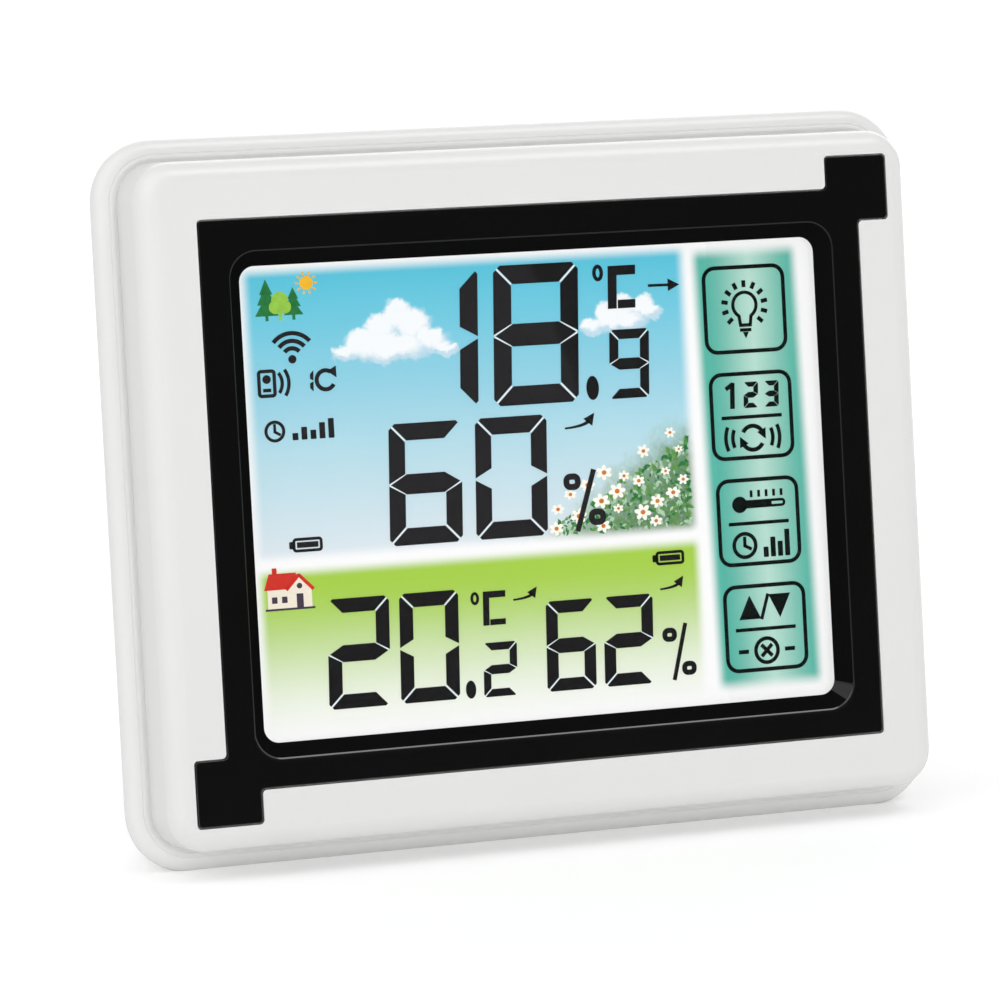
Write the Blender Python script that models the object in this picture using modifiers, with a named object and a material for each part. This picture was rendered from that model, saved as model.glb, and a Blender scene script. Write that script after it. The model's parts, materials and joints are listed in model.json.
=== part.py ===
"""Home weather station: a desk console that leans back on a fold-out stand.

Console frame: x to the right, y back from the front face, z up, origin at the centre of the front
face. An empty leans that frame back and stands it on the world's z = 0.
"""
import math

import bmesh
import bpy
from mathutils import Matrix, Vector

MM = 0.001

# Posture
LEAN = math.radians(8.5)
STAND_OPEN = math.radians(25.0)
STANDING_FLAT = 0.4 * MM

# Black trim frame with its two corner tabs and its sloping inner edge
FRAME_W = 101.2 * MM
FRAME_H = 80.0 * MM
TAB_W = 9.5 * MM
TAB_H = 9.3 * MM
TAB_OUT = 4.8 * MM
TRIM_CORNER_R = 0.6 * MM
BORDER = 4.2 * MM
BEVEL_RUN = 2.2 * MM
BEVEL_DROP = 2.4 * MM
BEVEL_OUTER_R = 4.0 * MM
BEVEL_INNER_R = 2.2 * MM
TRIM_PLATE = 1.3 * MM
TRIM_LIP = 1.0 * MM
WINDOW_DROP = 0.3 * MM

# Casing front: a raised upper tier on a wider flange, as margins around the trim frame
UPPER_MARGIN = 8.5 * MM
UPPER_DEPTH = 9.6 * MM
UPPER_DRAFT = 0.2 * MM
FRONT_ROUND = 3.1 * MM
GROOVE_W = 0.5 * MM
GROOVE_DEPTH = 0.5 * MM
FLANGE_LEDGE = 3.5 * MM
FLANGE_ROUND = 2.0 * MM
FLANGE_EDGE = 0.3 * MM
FLANGE_CORNER_R = 9.0 * MM
LEAST_CORNER_R = 0.6 * MM
WALL = 1.9 * MM
LEDGE = 1.3 * MM
CAVITY_ROUND = 1.5 * MM

# Rear cover
REAR_INSET = 1.0 * MM
REAR_TAPER = 2.8 * MM
REAR_ROUND = 2.0 * MM
BACK_WALL = 1.8 * MM

# Clearances
SEAT_GAP = 0.3 * MM
FILM_GAP = 0.1 * MM
PARTING_GAP = 0.2 * MM
TURNING_GAP = 0.2 * MM
BOX_GAP = 0.5 * MM

# Display stack, front to back
LENS_T = 0.7 * MM
LENS_LAP = 1.6 * MM
TOUCH_FILM_T = 0.15 * MM
KEY_STRIP_W = 18.0 * MM
TAIL_W = 8.0 * MM
TAIL_SETBACK = 12.0 * MM
LCD_GLASS_T = 0.9 * MM
LCD_LAP = 3.2 * MM
CONTACT_LEDGE = 3.0 * MM
COLOUR_FILM_T = 0.2 * MM
DIFFUSER_T = 0.3 * MM
GUIDE_T = 2.4 * MM
REFLECTOR_T = 0.2 * MM
TRAY_WALL = 1.3 * MM
TRAY_FLOOR = 1.2 * MM
TRAY_CORNER_R = 1.0 * MM
LED_DEEP = 1.4 * MM
LED_W = 3.5 * MM
LED_T = 1.8 * MM
LED_PITCH = 20.0 * MM
LED_COUNT = 3
LED_BOARD_T = 1.0 * MM
LED_BOARD_H = 60.0 * MM
LED_TAB_H = 8.0 * MM
ZEBRA_T = 2.2 * MM
ZEBRA_W = 84.0 * MM

# Main board and what it carries
BOARD_T = 1.6 * MM
BOARD_STANDOFF = 0.9 * MM
BOARD_EDGE = 2.9 * MM
BOARD_GAP = 0.8 * MM
BOARD_CORNER_R = 1.0 * MM
POST_R = 2.2 * MM
POST_GAP = 0.5 * MM
UPPER_POST_DROP = 4.0 * MM
LOWER_POST_RISE = 4.5 * MM
CHIP_R = 6.0 * MM
CHIP_T = 1.8 * MM
CHIP_DROP = 16.0 * MM
RADIO_W = 18.0 * MM
RADIO_H = 12.0 * MM
RADIO_T = 1.0 * MM
RADIO_X = -37.0 * MM
RADIO_DROP = 16.0 * MM
RADIO_CHIP_W = 5.0 * MM
RADIO_CHIP_T = 1.0 * MM
ANTENNA_R = 2.2 * MM
ANTENNA_WIRE_R = 0.35 * MM
ANTENNA_PITCH = 1.8 * MM
ANTENNA_TURNS = 6
CRYSTAL_R = 1.0 * MM
CRYSTAL_L = 6.0 * MM
CRYSTAL_X = 14.0 * MM
SENSOR_W = 5.0 * MM
SENSOR_H = 6.0 * MM
SENSOR_T = 2.4 * MM
SENSOR_X = 38.0 * MM

# Battery box
CELL_D = 10.5 * MM
CELL_L = 44.5 * MM
CELL_NUB_R = 1.9 * MM
CELL_NUB_H = 1.0 * MM
CELL_ROUND = 0.6 * MM
CELL_SPACE = 0.5 * MM
CELL_COUNT = 3
BOX_BOTTOM = -3.5 * MM
BOX_WALL = 2.4 * MM
BOX_FLOOR = 1.3 * MM
CONTACT_T = 0.4 * MM
CONTACT_INSET = 1.5 * MM
SPRING_L = 5.0 * MM
SPRING_BASE_R = 3.6 * MM
SPRING_TIP_R = 2.4 * MM
SPRING_WIRE_R = 0.3 * MM
SPRING_TURNS = 3.5
LEAD_R = 0.6 * MM
LEAD_HOLE_R = 1.0 * MM
LEAD_REACH = 3.0 * MM
LEAD_DROP = 5.0 * MM
DOOR_T = 2.0 * MM
DOOR_LAP = 1.2 * MM
DOOR_CORNER_R = 1.2 * MM
DOOR_PIN_R = 0.5 * MM
DOOR_PIN_L = 0.9 * MM
DOOR_RIB_W = 12.0 * MM
DOOR_RIB_T = 1.0 * MM
DOOR_RIB_H = 1.2 * MM

# Stand
STAND_W = 40.0 * MM
STAND_T = 2.6 * MM
STAND_BARREL_R = 2.1 * MM
STAND_PIN_R = 1.5 * MM
STAND_PIN_L = 2.2 * MM
STAND_SHOULDER = 2.0 * MM
STAND_FLUSH = 0.3 * MM
RECESS_WALL = 1.5 * MM
RECESS_SPACE = 2.5 * MM
RECESS_CHEEK = 3.4 * MM

# Hanging slot and vents in the rear cover
KEYHOLE_R = 4.0 * MM
KEYHOLE_SLOT_R = 1.9 * MM
KEYHOLE_RISE = 5.0 * MM
KEYHOLE_SPACE = 1.5 * MM
VENT_COUNT = 5
VENT_W = 14.0 * MM
VENT_H = 1.6 * MM
VENT_PITCH = 3.4 * MM
VENT_X = 38.0 * MM
VENT_Z = -23.0 * MM

# Screws
SCREW_MARGIN = 1.9 * MM
CASE_SHANK_R = 1.2 * MM
CASE_HEAD_R = 2.3 * MM
CASE_HEAD_H = 1.8 * MM
CASE_SCREW_L = 8.0 * MM
CASE_BOSS_R = 2.9 * MM
COLUMN_WALL = 1.2 * MM
CASE_SEAT = 2.0 * MM
BOARD_SHANK_R = 1.0 * MM
BOARD_HEAD_R = 1.9 * MM
BOARD_HEAD_H = 1.4 * MM
BOARD_SCREW_L = 6.0 * MM
HOLE_GAP = 0.2 * MM
HOLE_SPARE = 0.5 * MM

# Smoothness
CORNER_STEPS = 6
ROUND_STEPS = 5
SMALL_STEPS = 3
TURN_STEPS = 16
ROD_SIDES = 20
CURL_POINTS = 9
SHARP_ANGLE = math.radians(35.0)
MERGE = 0.01 * MM
CUT_SPARE = 1.0 * MM
TABLE_SIZE = 400.0 * MM

# Places that follow from the sizes: outline and depths
HALF_W = FRAME_W / 2
HALF_H = FRAME_H / 2
FLANGE_MARGIN = UPPER_MARGIN + FLANGE_LEDGE
PARTING = UPPER_DEPTH + FLANGE_ROUND + FLANGE_EDGE
TRIM_SEAT = TRIM_PLATE + SEAT_GAP
FRONT_WALL = TRIM_SEAT + LEDGE
VIEW_X = HALF_W - BORDER - BEVEL_RUN
VIEW_Z = HALF_H - BORDER - BEVEL_RUN
LEDGE_MARGIN = SEAT_GAP - BORDER
LENS_FRONT = BEVEL_DROP + SEAT_GAP
TOUCH_FRONT = LENS_FRONT + LENS_T + FILM_GAP
LCD_FRONT = TOUCH_FRONT + TOUCH_FILM_T + FILM_GAP
LCD_BACK = LCD_FRONT + 2 * LCD_GLASS_T
COLOUR_FRONT = LCD_BACK + FILM_GAP
DIFFUSER_FRONT = COLOUR_FRONT + COLOUR_FILM_T + FILM_GAP
GUIDE_FRONT = DIFFUSER_FRONT + DIFFUSER_T + FILM_GAP
GUIDE_BACK = GUIDE_FRONT + GUIDE_T
REFLECTOR_FRONT = GUIDE_BACK + FILM_GAP
TRAY_FRONT = FRONT_WALL + SEAT_GAP
TRAY_INSIDE = REFLECTOR_FRONT + REFLECTOR_T + FILM_GAP
TRAY_BACK = TRAY_INSIDE + TRAY_FLOOR
BOARD_FRONT = TRAY_BACK + BOARD_STANDOFF
BOARD_BACK = BOARD_FRONT + BOARD_T
BOX_FRONT = TRAY_BACK + BOX_GAP
BOX_INSIDE = BOX_FRONT + BOX_FLOOR
CELL_DEPTH = BOX_INSIDE + SEAT_GAP + CELL_D / 2
BACK = CELL_DEPTH + CELL_D / 2 + 2 * SEAT_GAP + DOOR_T
REAR_FRONT = PARTING + PARTING_GAP
REAR_MARGIN = FLANGE_MARGIN - REAR_INSET

# Places that follow from the sizes: across the front
LCD_X = VIEW_X + LCD_LAP
LCD_TOP = VIEW_Z + LCD_LAP - WINDOW_DROP
LCD_BOTTOM = -VIEW_Z - LCD_LAP - WINDOW_DROP
SHEET_BOTTOM = LCD_BOTTOM + CONTACT_LEDGE
LED_BOARD_X = LCD_X - LED_BOARD_T
LED_X = LED_BOARD_X - FILM_GAP - LED_DEEP
GUIDE_X = LED_X - SEAT_GAP
TRAY_X = LCD_X + SEAT_GAP + TRAY_WALL
TRAY_TOP = LCD_TOP + SEAT_GAP + TRAY_WALL
TRAY_BOTTOM = LCD_BOTTOM - SEAT_GAP - TRAY_WALL
TAIL_Z = TRAY_BOTTOM - BOX_GAP
TAIL_RIGHT = VIEW_X - TAIL_SETBACK + TAIL_W
ZEBRA_BOTTOM = LCD_BOTTOM + SEAT_GAP
TAIL_TOP = ZEBRA_BOTTOM - SEAT_GAP
TAIL_DEPTH = BOARD_FRONT - BOARD_STANDOFF / 2
SCREW_X = HALF_W + SCREW_MARGIN
SCREW_Z = HALF_H + SCREW_MARGIN
POST_X = TRAY_X + POST_GAP + POST_R
BOARD_X = POST_X + BOARD_EDGE
BOARD_TOP = BOX_BOTTOM - BOX_WALL - BOARD_GAP
COLUMN_R = CASE_HEAD_R + SEAT_GAP + COLUMN_WALL
BOARD_BOTTOM = COLUMN_R + BOX_GAP - SCREW_Z
POST_HEIGHTS = (BOARD_TOP - UPPER_POST_DROP, BOARD_BOTTOM + LOWER_POST_RISE)

# Places that follow from the sizes: battery box, stand and hanging slot
CELL_PITCH = CELL_D + CELL_SPACE
BOX_TOP = BOX_BOTTOM + CELL_COUNT * CELL_PITCH + CELL_SPACE
BOX_LENGTH = CELL_L + SPRING_L + 2 * (CONTACT_T + FILM_GAP) + FILM_GAP + 2 * TURNING_GAP
BOX_X = BOX_LENGTH / 2
DOOR_X = BOX_X + DOOR_LAP
DOOR_HINGE_Z = BOX_BOTTOM - DOOR_LAP + DOOR_T / 2
DOOR_HINGE_Y = BACK - DOOR_T / 2
DOOR_TOP = BOX_TOP + DOOR_LAP
RECESS_TOP = BOX_BOTTOM - BOX_WALL - RECESS_SPACE
STAND_OUTER = STAND_BARREL_R - FILM_GAP
SHOULDER_RISE = STAND_OUTER * math.sin(STAND_OPEN) + STAND_SHOULDER * math.cos(STAND_OPEN)
STAND_HINGE_Z = RECESS_TOP - SHOULDER_RISE - SEAT_GAP
STAND_HINGE_Y = BACK - STAND_FLUSH - STAND_OUTER
RECESS_FLOOR = STAND_HINGE_Y - STAND_BARREL_R - SEAT_GAP
RECESS_X = STAND_W / 2 + BOX_GAP
KEYHOLE_Z = BOX_TOP + BOX_WALL + KEYHOLE_SPACE + KEYHOLE_R
FLANGE_LOW = -HALF_H - FLANGE_MARGIN
CONSOLE_HEIGHT = PARTING * math.sin(LEAN) - FLANGE_LOW * math.cos(LEAN) - STANDING_FLAT
HINGE_HEIGHT = CONSOLE_HEIGHT - STAND_HINGE_Y * math.sin(LEAN) + STAND_HINGE_Z * math.cos(LEAN)
STAND_LENGTH = HINGE_HEIGHT / math.cos(STAND_OPEN - LEAN) + STAND_T


# Scene set-up
def clear_scene():
    for item in list(bpy.data.objects):
        bpy.data.objects.remove(item)


def new_collection(name):
    group = bpy.data.collections.new(name)
    bpy.context.scene.collection.children.link(group)
    return group


def new_empty(name, carrier=None):
    empty = bpy.data.objects.new(name, None)
    bpy.context.scene.collection.objects.link(empty)
    empty.parent = carrier
    return empty


def new_look(name, colour, roughness, metallic=0.0):
    look = bpy.data.materials.new(name)
    look.use_nodes = True
    shader = look.node_tree.nodes["Principled BSDF"]
    shader.inputs["Base Color"].default_value = (*colour, 1.0)
    shader.inputs["Roughness"].default_value = roughness
    shader.inputs["Metallic"].default_value = metallic
    return look


clear_scene()
PARTS = new_collection("weather_station")
TOOLS = new_collection("shaping_tools")
CONSOLE = new_empty("console")
STAND_HINGE = new_empty("stand_hinge", CONSOLE)
DOOR_HINGE = new_empty("battery_door_hinge", CONSOLE)

WHITE = new_look("casing_white", (0.83, 0.84, 0.85), 0.25)
BLACK = new_look("trim_black", (0.006, 0.006, 0.006), 0.15)
CLEAR = new_look("window_clear", (0.9, 0.93, 0.94), 0.05)
GLASS = new_look("display_glass", (0.55, 0.65, 0.62), 0.1)
PRINT = new_look("printed_film", (0.25, 0.55, 0.62), 0.4)
SHEET = new_look("white_sheet", (0.88, 0.88, 0.86), 0.5)
BOARD = new_look("board_green", (0.02, 0.13, 0.05), 0.4)
EPOXY = new_look("epoxy_black", (0.01, 0.01, 0.01), 0.45)
LAMP = new_look("led_body", (0.9, 0.88, 0.7), 0.4)
RUBBER = new_look("elastomer_grey", (0.3, 0.3, 0.32), 0.7)
STEEL = new_look("plated_steel", (0.62, 0.62, 0.6), 0.3, 1.0)
COPPER = new_look("copper_wire", (0.72, 0.36, 0.18), 0.3, 1.0)
JACKET = new_look("cell_jacket", (0.1, 0.22, 0.1), 0.35)
LEAD_RED = new_look("lead_red", (0.55, 0.02, 0.02), 0.45)
LEAD_BLACK = new_look("lead_black", (0.01, 0.01, 0.01), 0.45)


# Objects and Booleans
def mesh_of(name, shape):
    bmesh.ops.recalc_face_normals(shape, faces=shape.faces)
    mesh = bpy.data.meshes.new(name)
    shape.to_mesh(mesh)
    shape.free()
    mesh.shade_smooth()
    mesh.set_sharp_from_angle(angle=SHARP_ANGLE)
    return mesh


def part(name, shape, look, carrier=CONSOLE):
    item = bpy.data.objects.new(name, mesh_of(name, shape))
    item.data.materials.append(look)
    PARTS.objects.link(item)
    item.parent = carrier
    return item


def tool(name, shape, carrier=CONSOLE):
    item = bpy.data.objects.new(name, mesh_of(name, shape))
    TOOLS.objects.link(item)
    item.parent = carrier
    item.hide_render = True
    item.display_type = "WIRE"
    return item


def combine(target, helper, operation):
    step = target.modifiers.new(helper.name, "BOOLEAN")
    step.operation = operation
    step.solver = "EXACT"
    step.object = helper


def cut(target, helper):
    combine(target, helper, "DIFFERENCE")


def fuse(target, helper):
    combine(target, helper, "UNION")


# Outlines, as (x, z) points seen from the front
def rounded_rectangle(left, right, bottom, top, radius):
    points = []
    centres = ((right - radius, top - radius), (left + radius, top - radius),
               (left + radius, bottom + radius), (right - radius, bottom + radius))
    for quarter, (centre_x, centre_z) in enumerate(centres):
        for step in range(CORNER_STEPS + 1):
            angle = math.pi / 2 * (quarter + step / CORNER_STEPS)
            points.append((centre_x + radius * math.cos(angle), centre_z + radius * math.sin(angle)))
    return points


def casing_outline(margin):
    radius = max(LEAST_CORNER_R, FLANGE_CORNER_R - (FLANGE_MARGIN - margin))
    half_x = HALF_W + margin
    half_z = HALF_H + margin
    return rounded_rectangle(-half_x, half_x, -half_z, half_z, radius)


def window_outline(grow, radius):
    half_x = VIEW_X + grow
    half_z = VIEW_Z + grow
    return rounded_rectangle(-half_x, half_x, -half_z - WINDOW_DROP, half_z - WINDOW_DROP, radius)


def rounded_corners(corners, radius):
    """Replaces each square corner, inward or outward, by an arc."""
    points = []
    for index, corner in enumerate(corners):
        here = Vector(corner)
        toward = (Vector(corners[index - 1]) - here).normalized() * radius
        onward = (Vector(corners[(index + 1) % len(corners)]) - here).normalized() * radius
        centre = here + toward + onward
        for step in range(SMALL_STEPS + 1):
            angle = math.pi / 2 * step / SMALL_STEPS
            points.append(tuple(centre - onward * math.cos(angle) - toward * math.sin(angle)))
    return points


def trim_outline(grow):
    """The trim's frame with a tab at the top right and one at the bottom left."""
    half_x = HALF_W + grow
    half_z = HALF_H + grow
    side = half_x + TAB_OUT
    top = half_z + TAB_OUT
    tab_in = side - TAB_W - 2 * grow
    tab_low = top - TAB_H - 2 * grow
    half = [(half_x, -half_z), (half_x, tab_low), (side, tab_low),
            (side, top), (tab_in, top), (tab_in, half_z)]
    return rounded_corners(half + [(-x, -z) for x, z in half], TRIM_CORNER_R)


def keyhole_outline():
    neck = math.asin(KEYHOLE_SLOT_R / KEYHOLE_R)
    sweep = 2 * math.pi - 2 * neck
    points = []
    for step in range(ROD_SIDES + 1):
        angle = math.pi / 2 + neck + sweep * step / ROD_SIDES
        points.append((KEYHOLE_R * math.cos(angle), KEYHOLE_Z + KEYHOLE_R * math.sin(angle)))
    for step in range(CORNER_STEPS + 1):
        angle = math.pi * step / CORNER_STEPS
        slot_z = KEYHOLE_Z + KEYHOLE_RISE + KEYHOLE_SLOT_R * math.sin(angle)
        points.append((KEYHOLE_SLOT_R * math.cos(angle), slot_z))
    return points


def quarter_round(margin, depth, radius):
    """Profile points of a round edge, from its front tangent at depth out to margin."""
    points = []
    for step in range(ROUND_STEPS + 1):
        angle = math.pi / 2 * step / ROUND_STEPS
        points.append((margin - radius + radius * math.sin(angle), depth + radius - radius * math.cos(angle)))
    return points


def back_round(margin, depth, radius):
    """Profile points of a round edge, from its side tangent at margin back to depth."""
    points = []
    for step in range(ROUND_STEPS + 1):
        angle = math.pi / 2 * step / ROUND_STEPS
        points.append((margin - radius + radius * math.cos(angle), depth - radius + radius * math.sin(angle)))
    return points


# Solids
def loft(sections):
    """Closed solid through outlines of equal point counts at growing depths."""
    shape = bmesh.new()
    rings = [[shape.verts.new((x, depth, z)) for x, z in outline] for outline, depth in sections]
    for near, far in zip(rings, rings[1:]):
        for index, corner in enumerate(near):
            after = (index + 1) % len(near)
            shape.faces.new((corner, near[after], far[after], far[index]))
    shape.faces.new(rings[0])
    shape.faces.new(rings[-1])
    return shape


def casing_loft(profile):
    return loft([(casing_outline(margin), depth) for margin, depth in profile])


def prism(outline, near, far):
    """Solid of one outline, from depth near back to depth far."""
    shape = bmesh.new()
    face = shape.faces.new([shape.verts.new((x, near, z)) for x, z in outline])
    grown = bmesh.ops.extrude_face_region(shape, geom=[face])
    moved = [item for item in grown["geom"] if isinstance(item, bmesh.types.BMVert)]
    bmesh.ops.translate(shape, vec=(0.0, far - near, 0.0), verts=moved)
    return shape


def block(low, high, into=None):
    shape = into or bmesh.new()
    size = Vector(high) - Vector(low)
    middle = (Vector(high) + Vector(low)) / 2
    bmesh.ops.create_cube(shape, size=1.0, matrix=Matrix.Translation(middle) @ Matrix.Diagonal((*size, 1.0)))
    return shape


def rod(start, end, radius, into=None):
    shape = into or bmesh.new()
    run = Vector(end) - Vector(start)
    turn = run.to_track_quat("Z", "Y").to_matrix().to_4x4()
    middle = Matrix.Translation((Vector(start) + Vector(end)) / 2)
    bmesh.ops.create_cone(shape, cap_ends=True, segments=ROD_SIDES, radius1=radius, radius2=radius,
                          depth=run.length, matrix=middle @ turn)
    return shape


def rods_back(places, near, far, radius):
    """One rod along the depth at each (x, z) place."""
    shape = bmesh.new()
    for x, z in places:
        rod((x, near, z), (x, far, z), radius, shape)
    return shape


def turned(name, profile, look, location, turn):
    """Turned piece from a profile of (radius, height) points, run down its outer side."""
    shape = bmesh.new()
    points = [shape.verts.new((radius, 0.0, height)) for radius, height in profile]
    for upper, lower in zip(points, points[1:]):
        shape.edges.new((upper, lower))
    item = part(name, shape, look)
    item.location = location
    item.rotation_euler = turn
    spin = item.modifiers.new("turn", "SCREW")
    spin.steps = TURN_STEPS
    spin.render_steps = TURN_STEPS
    spin.use_merge_vertices = True
    spin.merge_threshold = MERGE
    return item


def wire(name, points, radius, look):
    """Round wire with closed ends along a list of points."""
    path = bpy.data.curves.new(name, "CURVE")
    path.dimensions = "3D"
    path.bevel_depth = radius
    path.bevel_resolution = 1
    path.use_fill_caps = True
    path.materials.append(look)
    spline = path.splines.new("POLY")
    spline.points.add(len(points) - 1)
    for node, place in zip(spline.points, points):
        node.co = (*place, 1.0)
    item = bpy.data.objects.new(name, path)
    PARTS.objects.link(item)
    item.parent = CONSOLE
    return item


def smooth_path(stops, steps):
    """Points along a smooth curve through the stops."""
    points = []
    for index in range(len(stops) - 1):
        before = Vector(stops[max(index - 1, 0)])
        start = Vector(stops[index])
        end = Vector(stops[index + 1])
        after = Vector(stops[min(index + 2, len(stops) - 1)])
        for step in range(steps):
            share = step / steps
            lean_in = (end - before) / 2
            lean_out = (after - start) / 2
            cubic = 2 * (start - end) + lean_in + lean_out
            square = 3 * (end - start) - 2 * lean_in - lean_out
            points.append(((cubic * share + square) * share + lean_in) * share + start)
    points.append(Vector(stops[-1]))
    return points


def report_least_gap(name, points, radius):
    """Prints the least gap between stretches of a coil that are half a turn or more apart."""
    apart = CURL_POINTS // 2
    spans = []
    for index, point in enumerate(points):
        for other in points[index + apart:]:
            spans.append((other - point).length)
    print(f"{name}: least gap to itself {(min(spans) - 2 * radius) / MM:.2f} mm")


# Casing pieces
def case_screw_places():
    return [(side * SCREW_X, level * SCREW_Z) for level in (1, -1) for side in (1, -1)]


def board_screw_places():
    return [(side * POST_X, height) for height in POST_HEIGHTS for side in (1, -1)]


def make_table():
    low = (-TABLE_SIZE, -TABLE_SIZE, -TABLE_SIZE)
    return tool("table", block(low, (TABLE_SIZE, TABLE_SIZE, 0.0)), None)


def make_front_housing(table):
    groove_margin = UPPER_MARGIN + UPPER_DRAFT
    groove_floor = UPPER_DEPTH + GROOVE_DEPTH
    profile = quarter_round(UPPER_MARGIN, 0.0, FRONT_ROUND)
    profile += [(groove_margin, groove_floor), (groove_margin + GROOVE_W, groove_floor)]
    profile += [(groove_margin + GROOVE_W, UPPER_DEPTH)]
    profile += quarter_round(FLANGE_MARGIN, UPPER_DEPTH, FLANGE_ROUND)
    profile += [(FLANGE_MARGIN, PARTING)]
    housing = part("front_housing", casing_loft(profile), WHITE)

    inside = UPPER_MARGIN - WALL
    far = PARTING + CUT_SPARE
    cavity = tool("front_cavity", casing_loft([(inside - CAVITY_ROUND, FRONT_WALL),
                                               (inside, FRONT_WALL + CAVITY_ROUND), (inside, far)]))
    bosses = rods_back(case_screw_places(), TRIM_SEAT, far + CUT_SPARE, CASE_BOSS_R)
    cut(cavity, tool("case_screw_bosses", bosses))
    posts = rods_back(board_screw_places(), TRIM_SEAT, BOARD_FRONT - SEAT_GAP, POST_R)
    cut(cavity, tool("board_posts", posts))
    cut(housing, cavity)

    opening = prism(casing_outline(LEDGE_MARGIN), -CUT_SPARE, FRONT_WALL + CUT_SPARE)
    cut(housing, tool("display_opening", opening))
    cut(housing, tool("trim_seat", prism(trim_outline(PARTING_GAP), -CUT_SPARE, TRIM_SEAT)))
    case_end = REAR_FRONT + CASE_SEAT - CASE_SCREW_L - HOLE_SPARE
    pilots = rods_back(case_screw_places(), case_end, far, CASE_SHANK_R + HOLE_GAP)
    board_end = BOARD_BACK - BOARD_SCREW_L - HOLE_SPARE
    for x, z in board_screw_places():
        rod((x, board_end, z), (x, far, z), BOARD_SHANK_R + HOLE_GAP, pilots)
    cut(housing, tool("pilot_holes", pilots))
    cut(housing, table)


def make_front_trim():
    trim = part("front_trim", prism(trim_outline(0.0), 0.0, TRIM_PLATE), BLACK)
    slope = BEVEL_RUN / BEVEL_DROP
    spare = CUT_SPARE * slope
    lip_front = TRIM_PLATE / 2
    lip_run = BEVEL_RUN - lip_front * slope
    lip = loft([(window_outline(lip_run + TRIM_LIP, BEVEL_OUTER_R), lip_front),
                (window_outline(TRIM_LIP, BEVEL_INNER_R + TRIM_LIP), BEVEL_DROP)])
    fuse(trim, tool("trim_lip", lip))
    funnel = loft([(window_outline(BEVEL_RUN + spare, BEVEL_OUTER_R), -CUT_SPARE),
                   (window_outline(BEVEL_RUN, BEVEL_OUTER_R), 0.0),
                   (window_outline(0.0, BEVEL_INNER_R), BEVEL_DROP),
                   (window_outline(-spare, BEVEL_INNER_R), BEVEL_DROP + CUT_SPARE)])
    cut(trim, tool("trim_funnel", funnel))


def recess_block(half_x, near, top):
    """Block from the casing's open lower end up to top, and from depth near out of the back."""
    return block((-half_x, near, FLANGE_LOW - CUT_SPARE), (half_x, BACK + CUT_SPARE, top))


def make_rear_cover():
    far = BACK + CUT_SPARE
    edge_margin = REAR_MARGIN - REAR_TAPER
    profile = [(REAR_MARGIN, REAR_FRONT)] + back_round(edge_margin, BACK, REAR_ROUND)
    cover = part("rear_cover", casing_loft(profile), WHITE)

    cavity_back = BACK - BACK_WALL
    cavity = tool("rear_cavity", casing_loft([(REAR_MARGIN - WALL, REAR_FRONT - CUT_SPARE),
                                              (REAR_MARGIN - WALL, REAR_FRONT),
                                              (edge_margin - WALL, cavity_back)]))
    columns = rods_back(case_screw_places(), REAR_FRONT - 2 * CUT_SPARE, far, COLUMN_R)
    cut(cavity, tool("screw_columns", columns))
    recess_walls = recess_block(RECESS_X + RECESS_CHEEK, RECESS_FLOOR - RECESS_WALL,
                                RECESS_TOP + RECESS_WALL)
    cut(cavity, tool("recess_walls", recess_walls))
    cut(cover, cavity)

    box_low = (-BOX_X - BOX_WALL, BOX_FRONT, BOX_BOTTOM - BOX_WALL)
    box_high = (BOX_X + BOX_WALL, BACK - BACK_WALL / 2, BOX_TOP + BOX_WALL)
    fuse(cover, tool("battery_box_walls", block(box_low, box_high)))
    pocket = block((-BOX_X, BOX_INSIDE, BOX_BOTTOM), (BOX_X, far, BOX_TOP))
    cut(cover, tool("battery_pocket", pocket))
    door_lap = DOOR_LAP + SEAT_GAP
    seat = rounded_rectangle(-BOX_X - door_lap, BOX_X + door_lap, BOX_BOTTOM - door_lap,
                             BOX_TOP + door_lap, DOOR_CORNER_R)
    cut(cover, tool("door_seat", prism(seat, BACK - DOOR_T - SEAT_GAP, far)))
    pin_reach = DOOR_X + DOOR_PIN_L + SEAT_GAP
    pin_hole = rod((-pin_reach, DOOR_HINGE_Y, DOOR_HINGE_Z), (pin_reach, DOOR_HINGE_Y, DOOR_HINGE_Z),
                   DOOR_PIN_R + TURNING_GAP)
    cut(cover, tool("door_pin_holes", pin_hole))

    cut(cover, tool("stand_recess", recess_block(RECESS_X, RECESS_FLOOR, RECESS_TOP)))
    trunnion_reach = STAND_W / 2 + STAND_PIN_L + SEAT_GAP
    trunnions = rod((-trunnion_reach, STAND_HINGE_Y, STAND_HINGE_Z),
                    (trunnion_reach, STAND_HINGE_Y, STAND_HINGE_Z), STAND_PIN_R + TURNING_GAP)
    cut(cover, tool("trunnion_holes", trunnions))

    screw_seat = REAR_FRONT + CASE_SEAT
    heads = rods_back(case_screw_places(), screw_seat, far, CASE_HEAD_R + SEAT_GAP)
    cut(cover, tool("screw_counterbores", heads))
    shanks = rods_back(case_screw_places(), REAR_FRONT - CUT_SPARE, screw_seat + CUT_SPARE,
                       CASE_SHANK_R + HOLE_GAP)
    cut(cover, tool("screw_holes", shanks))
    cut(cover, tool("keyhole", prism(keyhole_outline(), cavity_back - CUT_SPARE, far)))
    vents = bmesh.new()
    for side in (-1, 1):
        for index in range(VENT_COUNT):
            x = side * VENT_X
            z = VENT_Z - index * VENT_PITCH
            block((x - VENT_W / 2, cavity_back - CUT_SPARE, z - VENT_H / 2),
                  (x + VENT_W / 2, far, z + VENT_H / 2), vents)
    cut(cover, tool("vents", vents))
    for side, cell in battery_ends():
        z = cell_height(cell)
        hole = rod((side * (BOX_X - CUT_SPARE), CELL_DEPTH, z),
                   (side * (BOX_X + BOX_WALL + CUT_SPARE), CELL_DEPTH, z), LEAD_HOLE_R)
        cut(cover, tool(f"lead_hole_{cell}", hole))


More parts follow.
